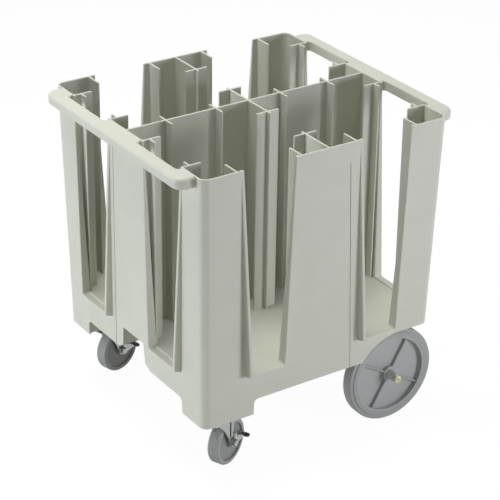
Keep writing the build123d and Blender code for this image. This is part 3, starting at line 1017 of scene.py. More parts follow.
    def base_cutters(self) -> list[Piece]:
        """Cutters for the line of the skirt: feet, notches and wheel arches.

        Returns:
            The cutters.
        """
        far, wide = (self.half(wall) + self.spare for wall in (End.REAR, Side.FAR))
        low = self.foot_low - self.spare
        inner_x, inner_y = self.foot_inner
        at_top = lies(Z, self.foot_low)
        behind = block("behind_feet", (-inner_x, far, -wide, wide), low, self.skirt_low)
        round_edges(behind, self.foot_blend, Steps.SOFT, at_top, lies(X, high=0))
        between = block("between_feet", (-far, self.bite - inner_x, -inner_y, inner_y), low, self.skirt_low)
        round_edges(between, self.foot_blend, Steps.SOFT, at_top, runs(X, self.spare))
        cutters = [behind, between]
        for (low_half, low_z), (high_half, high_z) in zip(self.notch, self.notch[1:]):
            plans = [(-far, far, -half, half) for half in (low_half, high_half)]
            cutters.append(tapered_block("notch", low_z, plans[0], high_z, plans[1]))
        for side in Side:
            ends = [(self.arch_place, side.value * y, self.arch_height) for y in (self.rib_face, wide)]
            cutters.append(rod("arch", self.arch_radius, *ends, sides=96))
            plan = through(side, self.rib_face, wide, self.arch_place, far)
            cutters.append(block("arch_end", plan, low, self.arch_height + self.arch_radius))
        return cutters

    def field_cutter(self, across: Place) -> Piece:
        """Cutter for the shallow field in a middle panel, with sloping sides.

        Args:
            across: wall that it is in.

        Returns:
            The cutter.
        """
        top_wide, low_wide = self.side_field if isinstance(across, Side) else self.end_field
        low, high = self.field_low, self.field_top

        def plan_at(height: float) -> Plan:
            """Plan of the cutter.

            Args:
                height: its top or bottom.

            Returns:
                The plan at that height.
            """
            half = (top_wide if height == high else low_wide) / 2
            inner = self.face(across, height, self.field_depth)
            return through(across, inner, inner + 2 * self.field_depth, -half, half)

        def is_floor(face: Face) -> bool:
            """Whether a face is the field's floor."""
            return face.normal[across.axis] * across.value < -FACING

        def is_floor_top(edge: Edge) -> bool:
            """Whether an edge is the top edge of the field's floor."""
            return lies(Z, high - self.bite)(edge) and any(is_floor(face) for face in edge.link_faces)

        piece = lofted("field", low, high, plan_at)
        pick(piece, Pick.FACES, is_floor)
        shrink = 1 - 2 * self.field_slope / top_wide
        scale = [shrink, shrink, 1.0]
        scale[across.axis] = 1.0
        centre = [0.0, 0.0, (low + high) / 2 * MM]
        centre[across.axis] = across.value * self.half(across) * MM
        bpy.ops.transform.resize(value=scale, center_override=centre)
        leave_edit()
        pick(piece, Pick.EDGES, is_floor_top)
        bpy.ops.transform.translate(value=metres((0, 0, -self.field_fall)))
        leave_edit()
        return piece

    def foot(self, side: Side) -> Piece:
        """Inner walls and pad of a front foot.

        Args:
            side: side that it is on.

        Returns:
            The foot.
        """
        inner_x, inner_y = self.foot_inner
        low = self.foot_low + self.hair

        def plan_at(height: float, inset: float = self.wall / 2, gap: float = self.hair) -> Plan:
            """Plan inside the outer walls by an inset, and inside the inner ones by a gap."""
            x, y = (self.face(wall, height, inset) for wall in (End.FRONT, side))
            return through(side, inner_y + gap, y, -x, -inner_x - gap)

        def is_inner(edge: Edge) -> bool:
            """Whether an edge is on one of the two inner walls."""
            on_y = all(abs(point.y) < inner_y + self.bite for point in points(edge))
            return on_y or lies(X, -inner_x - self.bite)(edge)

        piece = lofted("foot", low, self.deck_low + 2 * self.bite, plan_at)
        corner = self.corner - self.wall / 2
        round_edges(piece, corner, Steps.BROAD, runs_up, lambda edge: not is_inner(edge))
        round_edges(piece, self.foot_edge, Steps.PLAIN, is_inner, lies(Z, high=low + self.bite))
        hollow = plan_at(self.foot_low, self.wall, self.wall)
        combine(piece, [block("hollow", hollow, self.foot_low + self.foot_pad, self.rim)], Join.CUT)
        return piece

    def base_walls(self) -> list[Piece]:
        """Ribs under the deck and the walls that run in from the front notch.

        Returns:
            The walls.
        """
        top = self.deck_low + 2 * self.bite
        face = self.face(End.REAR, self.skirt_low)
        rib = self.rib_face - self.hair
        rib_from = -self.foot_inner[X] - self.bite
        neck, neck_low = self.notch[1]
        made = []
        for side in Side:
            plan = through(side, rib - self.wall, rib, rib_from, face - self.wall / 2)
            made.append(block("rib", plan, self.skirt_low, top))
            plan = through(side, neck, neck + self.wall, self.wall / 2 - face, self.notch_return - face)
            made.append(block("notch_wall", plan, neck_low, top))
        return made

    def build(self, materials: Palette) -> None:
        """Model the moulding from blocks, cutters, frames and plates, and let it stand for its solids.

        Args:
            materials: built material of each slot.
        """
        shell = self.leaning("body_moulding", self.foot_low, self.rim, 0)
        cutters = [self.leaning("cavity", self.foot_low - self.spare, self.rim + self.spare, self.wall)]
        for walls, centre in ((Side, self.slot_centre), (End, self.window_centre)):
            for across in walls:
                cutters += [self.opening(across, place, self.lip_core) for place in (-centre, centre)]
        combine(shell, [*cutters, *self.base_cutters()], Join.CUT)
        weld(shell, flatten=True)
        round_edges(shell, self.edge, Steps.FINE)
        deck = self.leaning("deck_slab", self.deck_low, self.deck_top, self.wall / 2, Steps.BROAD)
        feet = [self.foot(side) for side in Side]
        combine(shell, [deck, *self.lip_frames(), *self.guides(), *feet, *self.base_walls()], Join.ADD)
        combine(shell, [self.field_cutter(across) for across in (*Side, *End)], Join.CUT)
        weld(shell)
        nodes = ["deck", *(f"skirt_{wall.tag}" for wall in (*End, *Side))]
        for side in Side:
            nodes += [f"{name}_{side.tag}" for name in ("foot", "base_rib", "side_panel")]
            nodes += [f"post_{end.tag}_{side.tag}" for end in End]
        nodes += [f"end_panel_{end.tag}" for end in End]
        hand_over(shell, "chassis", Slot.BODY, nodes, materials)


@dataclass
class Dividers:
    """Cross of thin walls between the four columns."""

    moulding: Moulding
    rib_places: tuple[float, ...] = (-242.0, -97.0, 97.0, 242.0)
    rib_half: float = 30.0
    tee_half: float = 33.0
    tee_face: float = 88.0
    tip: float = 99.0
    # The cross walls start inside the divider, which hides their rounded edges there
    root: float = 0.25

    def build(self, materials: Palette) -> None:
        """Model the long divider with its ribs and the two cross walls with their tee ends.

        Args:
            materials: built material of each slot.
        """
        m = self.moulding
        half = m.wall / 2

        def long_plan(height: float) -> Plan:
            """Plan of the long divider at a height."""
            reach = m.face(End.REAR, height, half)
            return (-reach, reach, -half, half)

        divider = m.plate(long_plan, name="column_divider_wall")
        ribs = [m.upright((x - half, x + half, -self.rib_half, self.rib_half)) for x in self.rib_places]
        near = m.upright((-half, half, -self.tip, -self.root), 3, "cross_wall_near_wall")
        tee = m.upright((-self.tee_half, self.tee_half, -self.tee_face, m.wall - self.tee_face))
        for piece, parts in ((divider, ribs), (near, [tee])):
            combine(piece, parts, Join.ADD)
            weld(piece)
        hand_over(divider, "chassis", Slot.BODY, ["column_divider"], materials)
        places = {Side.NEAR: HERE, Side.FAR: HALF_TURN}
        hand_over_pair(near, places, "chassis", Slot.BODY, "cross_wall", materials)


@dataclass
class HandleRails:
    """Rail along each end, returned to the posts and the middle panel round two hand grips."""

    rim: float = 846.0
    half_length: float = 359.0
    root: float = 2.6
    reach: float = 47.0
    width: float = 35.0
    height: float = 29.5
    length: float = 640.0
    end_round: float = 28.0
    top_edge: float = 11.0
    low_edge: float = 6.0
    grip_centre: float = 168.0
    grip_half: float = 92.0
    grip_round: float = 8.0
    grip_edge: float = 5.0

    def build(self, materials: Palette) -> None:
        """Model the front rail, a rounded bar with two grips cut out, and copy it to the rear.

        Args:
            materials: built material of each slot.
        """
        low = self.rim - self.height
        root = self.half_length - self.root
        outside = self.half_length + self.reach
        inside = outside - self.width
        half = self.length / 2
        bar = block("handle_rail_front_bar", (-outside, -root, -half, half), low, self.rim)
        round_edges(bar, self.end_round, Steps.FULL, runs_up, lies(X, high=-inside))
        for y in (-self.grip_centre, self.grip_centre):
            span = (-inside, self.width - root, y - self.grip_half, y + self.grip_half)
            grip = block("grip", span, low - self.height, self.rim + self.height)
            round_edges(grip, self.grip_round, Steps.SOFT, runs_up, lies(X, high=-root))
            combine(bar, [grip], Join.CUT)
        weld(bar, flatten=True)

        def off_root(edge: Edge) -> bool:
            """Whether an edge isn't on the face towards the wall."""
            return min(point.x for point in points(edge)) < -root - CLOSE

        def goes_round(edge: Edge) -> bool:
            """Whether an edge goes round the rail, and not round a grip."""
            middle = sum(points(edge), Vector()) / 2
            return middle.x < -inside - CLOSE or abs(middle.y) > half - CLOSE

        for radius, steps, height, outer in (
            (self.top_edge, Steps.BROAD, self.rim, True),
            (self.low_edge, Steps.PLAIN, low, True),
            (self.grip_edge, Steps.PLAIN, self.rim, False),
            (self.grip_edge, Steps.PLAIN, low, False),
        ):
            level = lies(Z, height - CLOSE, height + CLOSE)
            round_edges(bar, radius, steps, level, off_root, lambda edge: goes_round(edge) == outer)
        places = {End.FRONT: HERE, End.REAR: HALF_TURN}
        hand_over_pair(bar, places, "chassis", Slot.BODY, "handle_rail", materials)


@dataclass
class RearWheels:
    """Two large wheels: ribbed centres, tyres, bushes that stand out of the hubs, axle nuts."""

    x: float = 243.0
    radius: float = 132.0
    face: float = 323.0
    width: float = 36.0
    tyre_depth: float = 24.0
    tyre_shoulder: float = 5.0
    tyre_band: float = 12.0
    tyre_step: float = 2.5
    rim: float = 5.0
    rim_inset: float = 0.3
    web: float = 9.0
    hub: float = 21.0
    hub_inset: float = 3.0
    rib: float = 4.0
    rib_inset: float = 5.0
    rib_count: int = 4
    rib_turn: float = 60.0
    bore: float = 8.05
    bush: float = 12.5
    bush_start: float = 277.8
    bush_end: float = 345.7
    nut_start: float = 348.5
    nut_height: float = 7.0
    nut_across: float = 18.0
    nut_edge: float = 1.4
    edge: float = 1.2

    @property
    def back(self) -> float:
        """Distance of a wheel's inner flank from the caddy's middle."""
        return self.face - self.width

    @property
    def tyre_inner(self) -> float:
        """Radius of the seam between wheel centre and tyre."""
        return self.radius - self.tyre_depth

    @property
    def axle(self) -> Matrix:
        """Move from the origin to the middle of the axle."""
        return Matrix.Translation(metres(self.at_axle(0.0)))

    def at_axle(self, y: float) -> Point:
        """Point on the axle's line."""
        return (self.x, y, self.radius)

    def from_axle(self, edge: Edge) -> float:
        """How far an edge lies from the axle's line."""
        way = points(edge)[0] - Vector(self.at_axle(0.0))
        return math.hypot(way.x, way.z)

    def ring(self, name: str, profile: Sequence[Spot], steps: int) -> Piece:
        """Ring of the near side, with a profile of radius and distance from the caddy's middle."""
        return turned(name, [(radius, -place) for radius, place in profile], self.at_axle(0.0), steps)

    def centre(self) -> Piece:
        """Wheel centre of the near side: rim, web and hub turned, then the ribs.

        Returns:
            The wheel centre.
        """
        middle = (self.face + self.back) / 2
        inner = self.tyre_inner - self.rim
        hub_back, hub_face = self.back - self.hub_inset, self.face - self.hub_inset
        web_back, web_face = middle - self.web / 2, middle + self.web / 2
        rim_back, rim_face = self.back + self.rim_inset, self.face - self.rim_inset
        profile = [
            (self.bush, hub_back), (self.hub, hub_back), (self.hub, web_back), (inner, web_back),
            (inner, rim_back), (self.tyre_inner, rim_back), (self.tyre_inner, rim_face), (inner, rim_face),
            (inner, web_face), (self.hub, web_face), (self.hub, hub_face), (self.bush, hub_face),
        ]
        piece = self.ring("rear_wheel_near_centre", profile, steps=96)
        seam = self.tyre_inner - self.edge
        round_edges(piece, self.edge, Steps.FINE, is_sharp, lambda edge: self.from_axle(edge) < seam)
        faces = (self.rib_inset - self.face, -self.back - self.rib_inset)
        plan = (self.hub - self.rib, inner + self.rim / 2, *faces)
        rib = block("rib", plan, -self.rib / 2, self.rib / 2)
        round_edges(rib, self.edge, Steps.FINE, runs(X, self.rib))
        ribs = [rib, *(copy_of(rib, "rib") for number in range(1, self.rib_count))]
        for number, each in enumerate(ribs):
            turn = math.radians(self.rib_turn + number * 360 / self.rib_count)
            move_to(each, self.axle @ Matrix.Rotation(-turn, 4, "Y"))
        combine(piece, ribs, Join.ADD)
        return piece

    def tyre(self) -> Piece:
        """Tyre of the near side with rounded shoulders and a step on each flank.

        Returns:
            The tyre.
        """
        step = self.radius - self.tyre_band
        low, high = self.back + self.tyre_step, self.face - self.tyre_step
        profile = [
            (self.tyre_inner, self.back), (step, self.back), (step, low), (self.radius, low),
            (self.radius, high), (step, high), (step, self.face), (self.tyre_inner, self.face),
        ]
        piece = self.ring("rear_tyre_near_ring", profile, steps=128)
        for radius, steps, beyond in (
            (self.tyre_shoulder, Steps.SOFT, self.radius - self.edge),
            (self.edge, Steps.FINE, self.tyre_inner + self.edge),
        ):
            round_edges(piece, radius, steps, is_sharp, lambda edge: self.from_axle(edge) > beyond)
        return piece

    def bush_tube(self) -> Piece:
        """Bush of the near side.

        Returns:
            The bush.
        """
        start, end = self.bush_start, self.bush_end
        profile = [(self.bore, start), (self.bush, start), (self.bush, end), (self.bore, end)]
        piece = self.ring("rear_bush_near_tube", profile, steps=64)
        round_edges(piece, self.edge, Steps.FINE)
        return piece

    def nuts(self) -> Piece:
        """Both axle nuts as one piece, like the solids' node.

        Returns:
            The nuts.
        """
        pair = []
        for side in Side:
            ends = [self.at_axle(side.value * (self.nut_start + out)) for out in (0, self.nut_height)]
            pair.append(hexagon("axle_nuts_pair", self.nut_across, *ends, self.nut_edge))
        take_up(pair[0])
        pair[1].select_set(True)
        bpy.ops.object.join()
        return pair[0]

    def build(self, materials: Palette) -> None:
        """Model the near side and copy it to the far side.

        Args:
            materials: built material of each slot.
        """
        spin = Matrix.Rotation(math.radians(2 * self.rib_turn), 4, "Y")
        places = {Side.NEAR: HERE, Side.FAR: self.axle @ spin @ HALF_TURN @ self.axle.inverted()}
        for piece, slot, node in (
            (self.centre(), Slot.WHEEL, "rear_wheel"),
            (self.tyre(), Slot.GREY_RUBBER, "rear_tyre"),
            (self.bush_tube(), Slot.BUSH, "rear_bush"),
        ):
            hand_over_pair(piece, places, "{}_rear_wheel", slot, node, materials)
        hand_over(self.nuts(), "chassis", Slot.YELLOW_ZINC, ["axle_nuts"], materials)


@dataclass
class Casters:
    """Two swivel casters: pressed fork, grooved wheel, axle bolt, brake lever with its cap."""

    near_turn: float = 24.0
    far_turn: float = 15.0
    place: Spot = (261.5, 278.0)
    trail: float = 31.5
    radius: float = 63.5
    width: float = 32.0
    tread_depth: float = 12.0
    shoulder: float = 5.0
    groove_places: tuple[float, ...] = (-7.5, -2.5, 2.5, 7.5)
    groove: float = 0.9
    web: float = 24.0
    hub: float = 15.0
    hub_half: float = 18.0
    bore: float = 7.05
    crown_low: float = 142.6
    crown_top: float = 146.6
    crown_round: float = 9.0
    crown_edge: float = 1.2
    cup: float = 28.0
    cup_top: float = 150.6
    pin_hole: float = 6.05
    front: float = 46.0
    back: float = 43.0
    waist: float = 9.0
    eye: float = 13.0
    leg_inner: float = 18.3
    leg_outer: float = 22.3
    leg_slot_x: float = 18.5
    leg_slot_half: float = 3.0
    leg_slot_round: float = 2.7
    ridge_x: float = 26.5
    ridge_round: float = 4.5
    ridge_out: float = 2.5
    press_low: float = 84.0
    press_gap: float = 2.0
    bolt: float = 5.0
    lever_inner: float = 22.6
    lever_outer: float = 25.6
    lever_eye: float = 12.0
    lever_reach: float = 41.0
    lever_rise: float = 5.0
    lever_tip: float = 8.0
    lobe: float = 6.5
    lobe_place: Spot = (7.0, 20.5)
    rivet: float = 3.6
    rivet_out: float = 2.2
    rivet_dome: float = 1.76
    pedal: Spot = (11.0, 20.0)
    cap_wall: float = 1.6
    cap_width: float = 17.0
    # Roundings of the cap as shares: of its half width at the tip and root, of its half thickness
    cap_rounds: Point = (0.85, 0.5, 0.75)
    nut_across: float = 17.0
    nut_height: float = 7.0
    nut_edge: float = 1.2
    gap: float = 0.3
    edge: float = 0.8
    # Faces stay hairs apart, since Booleans go wrong where faces share a plane
    hair: float = 0.05
    nip: float = 0.5
    bite: float = 1.0

    @property
    def pedal_spot(self) -> Spot:
        """Place along X and height of the pedal's middle, with the swivel on Z."""
        return (self.trail + self.lever_reach, self.radius + self.lever_rise)

    def at_axle(self, y: float) -> Point:
        """Point on the wheel's axis, with the swivel on Z."""
        return (self.trail, y, self.radius)

    def along_axle(self, name: str, radius: float, start: float, stop: float, sides: int = 64) -> Piece:
        """Rod along the wheel's axis."""
        return rod(name, radius, self.at_axle(start), self.at_axle(stop), sides)

    def core(self) -> Piece:
        """Wheel centre: rim, web and hub.

        Returns:
            The wheel centre.
        """
        rim = self.radius - self.tread_depth
        half = self.web / 2
        side = [(self.bore, self.hub_half), (self.hub, self.hub_half), (self.hub, half), (rim, half)]
        profile = [(radius, -place) for radius, place in side] + side[::-1]
        piece = turned("caster_wheel_near_centre", profile, self.at_axle(0.0))
        round_edges(piece, self.edge, Steps.TINY)
        return piece

    def tread(self) -> Piece:
        """Tread with rounded shoulders and fine grooves round it.

        Returns:
            The tread.
        """
        rim = self.radius - self.tread_depth
        half = self.width / 2
        profile = [(rim, -half), (self.radius, -half)]
        for place in self.groove_places:
            for depth, step in ((0, -self.groove), (self.groove, 0), (0, self.groove)):
                profile.append((self.radius - depth, place + step))
        profile += [(self.radius, half), (rim, half)]
        piece = turned("caster_tread_near_ring", profile, self.at_axle(0.0), steps=128)

        def at_shoulder(edge: Edge) -> bool:
            """Tell whether an edge is at a shoulder.

            Args:
                edge: edge of the tread.

            Returns:
                Whether both its points are out at the tread's radius and at one of its flanks.
            """
            ways = [point - Vector(self.at_axle(0.0)) for point in points(edge)]
            far_out = all(math.hypot(way.x, way.z) > self.radius - self.bite for way in ways)
            return far_out and all(abs(way.y) > half - CLOSE for way in ways)

        round_edges(piece, self.shoulder, Steps.SOFT, at_shoulder)
        return piece

    def leg(self, side: Side) -> Piece:
        """Leg of the fork: edges that sweep in to the axle, an upright slot and a ridge beside it.

        Args:
            side: side of the wheel that it is on.

        Returns:
            The leg.
        """
        front, back = self.crown_round - self.front, self.back - self.crown_round
        front_eye, back_eye = self.trail - self.eye, self.trail + self.eye
        plan = through(side, self.leg_inner, self.leg_outer, front, back_eye)
        piece = block("leg", plan, self.radius, self.crown_top - self.bite)
        middle = (self.crown_low + self.radius) / 2
        clear = 2 * self.cup
        for crown, eye, waist in ((front, front_eye, self.waist), (back, back_eye, -self.waist / 2)):
            waist_spot = ((crown + eye) / 2 + waist, middle)
            (x, z), radius = circle_through((eye, self.radius), waist_spot, (crown, self.crown_low))
            combine(piece, [rod("sweep", radius, (x, -clear, z), (x, clear, z), sides=256)], Join.CUT)
        round_edges(piece, self.edge, Steps.TINY, is_sharp, reaches(self.radius + self.nip))
        faces = (self.leg_inner - 2 * self.hair, self.leg_outer + 4 * self.hair)
        eye = self.along_axle("eye", self.eye, *(side.value * y for y in faces))
        round_edges(eye, self.edge, Steps.TINY)
        heights = (self.press_low, self.crown_low - self.press_gap)
        y = side.value * (self.leg_outer + self.ridge_out - self.ridge_round)
        ridge = rod("ridge", self.ridge_round, *((self.ridge_x, y, z) for z in heights), sides=48)
        round_edges(ridge, self.ridge_out, Steps.PLAIN)
        inside = through(side, 0, self.leg_inner + self.edge, -clear, 2 * clear)
        combine(ridge, [block("inside", inside, 0, 2 * self.crown_top)], Join.CUT)
        ends = (self.leg_slot_x - self.leg_slot_half, self.leg_slot_x + self.leg_slot_half)
        plan = through(side, self.leg_inner - self.bite, self.leg_outer + self.bite, *ends)
        slot = block("leg_slot", plan, *heights)
        round_edges(slot, self.leg_slot_round, Steps.SOFT, runs(Y, self.bite))
        combine(piece, [eye, ridge], Join.ADD)
        combine(piece, [slot], Join.CUT)
        return piece

    def fork(self) -> Piece:
        """Fork: crown with a round cup on it and two legs.

        Returns:
            The fork.
        """
        half = self.leg_outer - 3 * self.hair
        plan = (-self.front, self.back, -half, half)
        piece = block("caster_fork_near_pressing", plan, self.crown_low, self.crown_top)
        round_edges(piece, self.crown_round, Steps.BROAD, runs_up)
        round_edges(piece, self.crown_edge, Steps.FINE)
        cup = rod("cup", self.cup, (0, 0, self.crown_top - self.bite), (0, 0, self.cup_top))
        round_edges(cup, self.crown_edge, Steps.FINE, is_sharp, lies(Z, self.crown_top))
        combine(piece, [cup, *(self.leg(side) for side in Side)], Join.ADD)
        pin_hole = rod("pin_hole", self.pin_hole, (0, 0, 0), (0, 0, 2 * self.crown_top))
        combine(piece, [pin_hole, self.bolt_hole(self.bolt)], Join.CUT)
        weld(piece)
        return piece

    def bolt_hole(self, radius: float) -> Piece:
        """Cutter along the wheel's axis."""
        return self.along_axle("bolt_hole", radius, -2 * self.cup, 2 * self.cup)

    def lever(self) -> Piece:
        """Brake lever: an eye on the bolt, an arm that narrows to a round end, a pedal bent outwards.

        Returns:
            The lever.
        """
        tip, height = self.pedal_spot
        plan = (self.trail, tip + self.lever_tip, -self.lever_outer, -self.lever_inner)
        heights = (self.radius - self.lever_eye, self.radius + self.lever_eye)
        piece = block("brake_lever_near_arm", plan, *heights)
        pick(piece, Pick.FACES, lambda face: face.normal.x > FACING)
        narrow = (1, 1, self.lever_tip / self.lever_eye)
        bpy.ops.transform.resize(value=narrow, center_override=metres((tip, 0, self.radius)))
        bpy.ops.transform.translate(value=metres((0, 0, self.lever_rise)))
        leave_edit()
        radius = self.lever_tip - self.nip
        round_edges(piece, radius, Steps.BROAD, lies(X, tip + radius), runs(Y, self.bite))
        faces = (self.hair - self.lever_inner, -self.lever_outer - 2 * self.hair)
        eye = self.along_axle("eye", self.lever_eye, *faces)
        long, wide = self.pedal
        half = (self.lever_outer - self.lever_inner) / 2
        plan = (tip - long / 2, tip + long / 2, -self.lever_inner - wide, -self.lever_inner - self.nip)
        pedal = block("pedal", plan, height - half, height + half)
        for part in (piece, eye, pedal):
            round_edges(part, self.edge / 2, Steps.TINY)
        combine(piece, [eye, pedal, *self.lobe_parts()], Join.ADD)
        combine(piece, [self.bolt_hole(self.bolt + self.hair)], Join.CUT)
        weld(piece)
        return piece

    def lobe_parts(self) -> list[Piece]:
        """Upper lobe of the lever: a round end on a short neck, with a domed rivet.

        Returns:
            Neck, end and rivet.
        """
        x, z = self.trail + self.lobe_place[0], self.radius + self.lobe_place[1]
        gap = 2 * self.hair
        inner, outer = -self.lever_inner - gap, gap - self.lever_outer
        neck = block("neck", (x - self.lobe, x + self.lobe, outer, inner), self.radius, z)
        end = rod("lobe", self.lobe + gap, (x, inner - gap, z), (x, outer + gap, z))
        round_edges(end, self.edge / 2, Steps.TINY)
        dome = rod("rivet", self.rivet, (x, inner - self.bite, z), (x, outer - self.rivet_out, z), sides=32)
        round_edges(dome, self.rivet_dome, Steps.PLAIN, is_sharp, lies(Y, high=outer))
        return [neck, end, dome]

    def cap(self) -> Piece:
        """Rubber cap on the pedal, rounded like a leaf.

        Returns:
            The cap.
        """
        tip, height = self.pedal_spot
        long, wide = self.pedal
        half = long / 2 + self.cap_wall
        thick = (self.lever_outer - self.lever_inner) / 2 + self.cap_wall
        end = -self.lever_inner - wide - self.cap_wall
        root = end + self.cap_width
        plan = (tip - half, tip + half, end, root)
        piece = block("brake_cap_near_sleeve", plan, height - thick, height + thick)
        at_tip, at_root, all_round = self.cap_rounds
        round_edges(piece, half * at_tip, Steps.BROAD, runs_up, lies(Y, high=end + self.bite))
        round_edges(piece, half * at_root, Steps.SOFT, runs_up, lies(Y, root - self.bite))
        round_edges(piece, thick * all_round, Steps.PLAIN)
        return piece

    def axle_bolt(self) -> Piece:
        """Axle bolt: a hex head on the far leg and a shank through both legs.

        Returns:
            The bolt.
        """
        head_to = self.leg_outer + self.nut_height
        end = -self.lever_outer - self.gap - self.nut_height - self.nip
        head = (self.at_axle(self.leg_outer + 5 * self.hair), self.at_axle(head_to))
        piece = hexagon("caster_bolt_near_hex", self.nut_across, *head, self.nut_edge)
        shank = self.along_axle("shank", self.bolt - self.hair, head_to - self.bite, end, sides=32)
        round_edges(shank, self.edge, Steps.TINY, is_sharp, lies(Y, high=0))
        combine(piece, [shank], Join.ADD)
        return piece

    def axle_nut(self) -> Piece:
        """Lock nut outside the brake lever.

        Returns:
            The nut.
        """
        start = -self.lever_outer - self.gap
        ends = (self.at_axle(start), self.at_axle(start - self.nut_height))
        return hexagon("caster_nut_near_hex", self.nut_across, *ends, self.nut_edge)

    def build(self, materials: Palette) -> None:
        """Model every piece once with the swivel on Z, copy it, and put both in their places.

        Args:
            materials: built material of each slot.
        """
        x, y = self.place
        places = {}
        for side, turn in ((Side.NEAR, self.near_turn), (Side.FAR, self.far_turn)):
            spot = Matrix.Translation(metres((-x, side.value * y, 0)))
            places[side] = spot @ Matrix.Rotation(math.radians(turn), 4, "Z")
        # The caster centres get their own darker copy of the wheels' plastic: painted shade on their flanks
        palette = {**materials, Slot.WHEEL: CASTER_CENTRE_PAINTED_SHADE.build()}
        for piece, body, slot, node in (
            (self.core(), "{}_caster_wheel", Slot.WHEEL, "caster_wheel"),
            (self.tread(), "{}_caster_wheel", Slot.GREY_RUBBER, "caster_tread"),
            (self.fork(), "{}_swivel", Slot.ZINC, "caster_fork"),
            (self.axle_bolt(), "{}_swivel", Slot.ZINC, "caster_bolt"),
            (self.axle_nut(), "{}_swivel", Slot.ZINC, "caster_nut"),
            (self.lever(), "{}_brake", Slot.ZINC, "brake_lever"),
            (self.cap(), "{}_brake", Slot.BLACK_RUBBER, "brake_cap"),
        ):
            hand_over_pair(piece, places, body, slot, node, palette)


# Studio


@dataclass
class SoftLamp:
    """Square soft lamp that looks at a point; sizes in metres, power in watts."""

    name: str
    place: Point
    target: Point
    size: float
    power: float
    tint: Point = (1.0, 1.0, 1.0)

    def build(self) -> None:
        """Add the lamp and turn it to its target."""
        bpy.ops.object.light_add(type="AREA", location=self.place)
        lamp = bpy.context.object
        lamp.name = self.name
        lamp.data.shape = "SQUARE"
        lamp.data.size = self.size
        lamp.data.energy = self.power
        lamp.data.color = self.tint
        way = Vector(self.target) - Vector(self.place)
        lamp.rotation_euler = way.to_track_quat("-Z", "Y").to_euler()


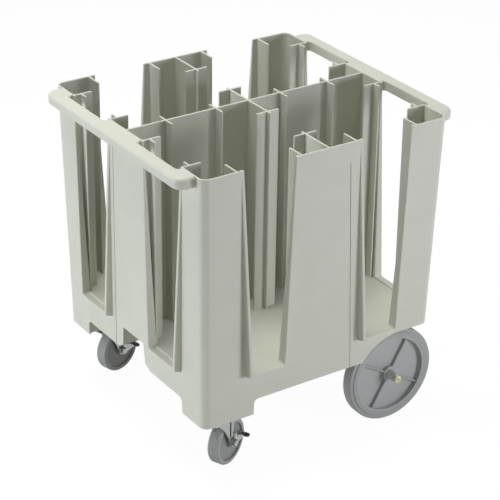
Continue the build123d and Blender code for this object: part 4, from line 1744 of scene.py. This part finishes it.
@dataclass
class Studio:
    """White floor, even sky and three soft lamps; the floor's size is in metres."""

    floor_size: float = 40.0
    paper: str = "#E4E4E2"
    sky: float = 0.17
    backdrop: float = 0.975
    shadow_share: float = 0.1
    paper_glow: float = 1.065
    lamps: tuple[SoftLamp, ...] = (
        SoftLamp("lamp_left", (-2.8, 0.5, 0.15), (-0.3, 0, 0.25), 1.0, 50.0, (0.945, 0.98, 1.08)),
        SoftLamp("lamp_front_right", (1.9, -3.2, 1.0), (0.1, 0, 0.4), 1.2, 56.0, (0.965, 0.975, 1.08)),
        SoftLamp("lamp_above", (-0.5, 0.4, 3.2), (0, 0, 0.5), 1.2, 58.0),
    )

    def build(self) -> None:
        """Add the sky, the floor and the lamps."""
        world = bpy.data.worlds.new("white_studio")
        bpy.context.scene.world = world
        tree = empty_tree(world)
        strength = self.seen_or(tree, self.backdrop, self.sky)
        sky = add_node(tree, "ShaderNodeBackground", {"Color": WHITE, "Strength": strength})
        add_node(tree, "ShaderNodeOutputWorld", {"Surface": sky.outputs[0]})
        floor = primitive("studio_floor", bpy.ops.mesh.primitive_plane_add, size=self.floor_size)
        floor.data.materials.append(self.floor_material())
        floor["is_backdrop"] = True
        for lamp in self.lamps:
            lamp.build()

    @staticmethod
    def seen_or(tree: Tree, seen: float, other: float) -> Socket:
        """One value for what the eye, gloss and glass see, another for light that falls on things.

        Args:
            tree: node tree to add to.
            seen: value for camera, glossy and transmission rays.
            other: value for all other rays.

        Returns:
            The output socket with the value.
        """
        path = add_node(tree, "ShaderNodeLightPath").outputs
        looked = path["Is Camera Ray"]
        for kind in ("Is Glossy Ray", "Is Transmission Ray"):
            either = {0: looked, 1: path[kind]}
            looked = add_node(tree, "ShaderNodeMath", either, operation="MAXIMUM").outputs[0]
        limits = {"Value": looked, "To Min": other, "To Max": seen}
        return add_node(tree, "ShaderNodeMapRange", limits).outputs["Result"]

    def floor_material(self) -> Material:
        """Matt white studio paper: white to the eye, with a faint shadow.

        Returns:
            The new material.
        """
        material = bpy.data.materials.new("matt_white_studio_paper")
        tree = empty_tree(material)
        paper = add_node(tree, "ShaderNodeBsdfDiffuse", {"Color": linear(self.paper)})
        glow = add_node(tree, "ShaderNodeEmission", {"Color": WHITE, "Strength": self.paper_glow})
        share = self.seen_or(tree, 1 - self.shadow_share, 0.0)
        parts = {0: share, 1: paper.outputs[0], 2: glow.outputs[0]}
        mixed = add_node(tree, "ShaderNodeMixShader", parts)
        add_node(tree, "ShaderNodeOutputMaterial", {"Surface": mixed.outputs[0]})
        return material


@dataclass
class PhotoCamera:
    """Camera at the photograph's viewing angle; its far limit is in metres."""

    target: Point = (604.43, 877.82, -118.79)
    distance: float = 6137.05
    azimuth: float = -34.04
    elevation: float = 26.96
    roll: float = 0.85
    lens: float = 136.54
    sensor: float = 36.0
    far_limit: float = 100.0

    def build(self) -> None:
        """Add the camera and make it the scene's own."""
        aim = HERE
        for angle, axis in ((self.azimuth, "Z"), (90 - self.elevation, "X"), (self.roll, "Z")):
            aim = aim @ Matrix.Rotation(math.radians(angle), 4, axis)
        back = aim @ Vector((0, 0, 1))
        place = (Vector(self.target) + back * self.distance) * MM
        data = bpy.data.cameras.new("photo_camera")
        data.lens = self.lens
        data.sensor_width = self.sensor
        data.clip_end = self.far_limit
        camera = bpy.data.objects.new("photo_camera", data)
        bpy.context.scene.collection.objects.link(camera)
        camera.matrix_world = Matrix.Translation(place) @ aim
        bpy.context.scene.camera = camera


def dress_solids(materials: Palette) -> None:
    """Give every solid the material of its slot, for those that stay in view.

    Args:
        materials: built material of each slot.
    """
    slots = {row["node"]: Slot(row["material_slot"]) for row in frame["record"]["subparts"]}
    for name, solid in frame["nodes"].items():
        material = materials[slots[name]]
        if not solid.material_slots:
            solid.data.materials.append(material)
        for place in solid.material_slots:
            place.link = "OBJECT"
            place.material = material


def write_sizes() -> None:
    """Gather the solids' box and the dressed model's box into a table that is not kept; nothing is written.
    """
    boxes = {"cad": CAD_BOX, "visual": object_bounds()}
    {name: [list(corner) for corner in box] for name, box in boxes.items()}


def main() -> None:
    """Build every sub-assembly in order, then the studio and the camera."""
    logging.basicConfig(level=logging.INFO, format="%(message)s")
    bpy.context.scene.view_settings.view_transform = "Standard"
    materials = {slot: finish.build() for slot, finish in FINISHES.items()}
    dress_solids(materials)
    moulding = Moulding()
    for assembly in (moulding, Dividers(moulding), HandleRails(), RearWheels(), Casters()):
        assembly.build(materials)
    Studio().build()
    PhotoCamera().build()
    write_sizes()


if __name__ == "__main__":
    main()
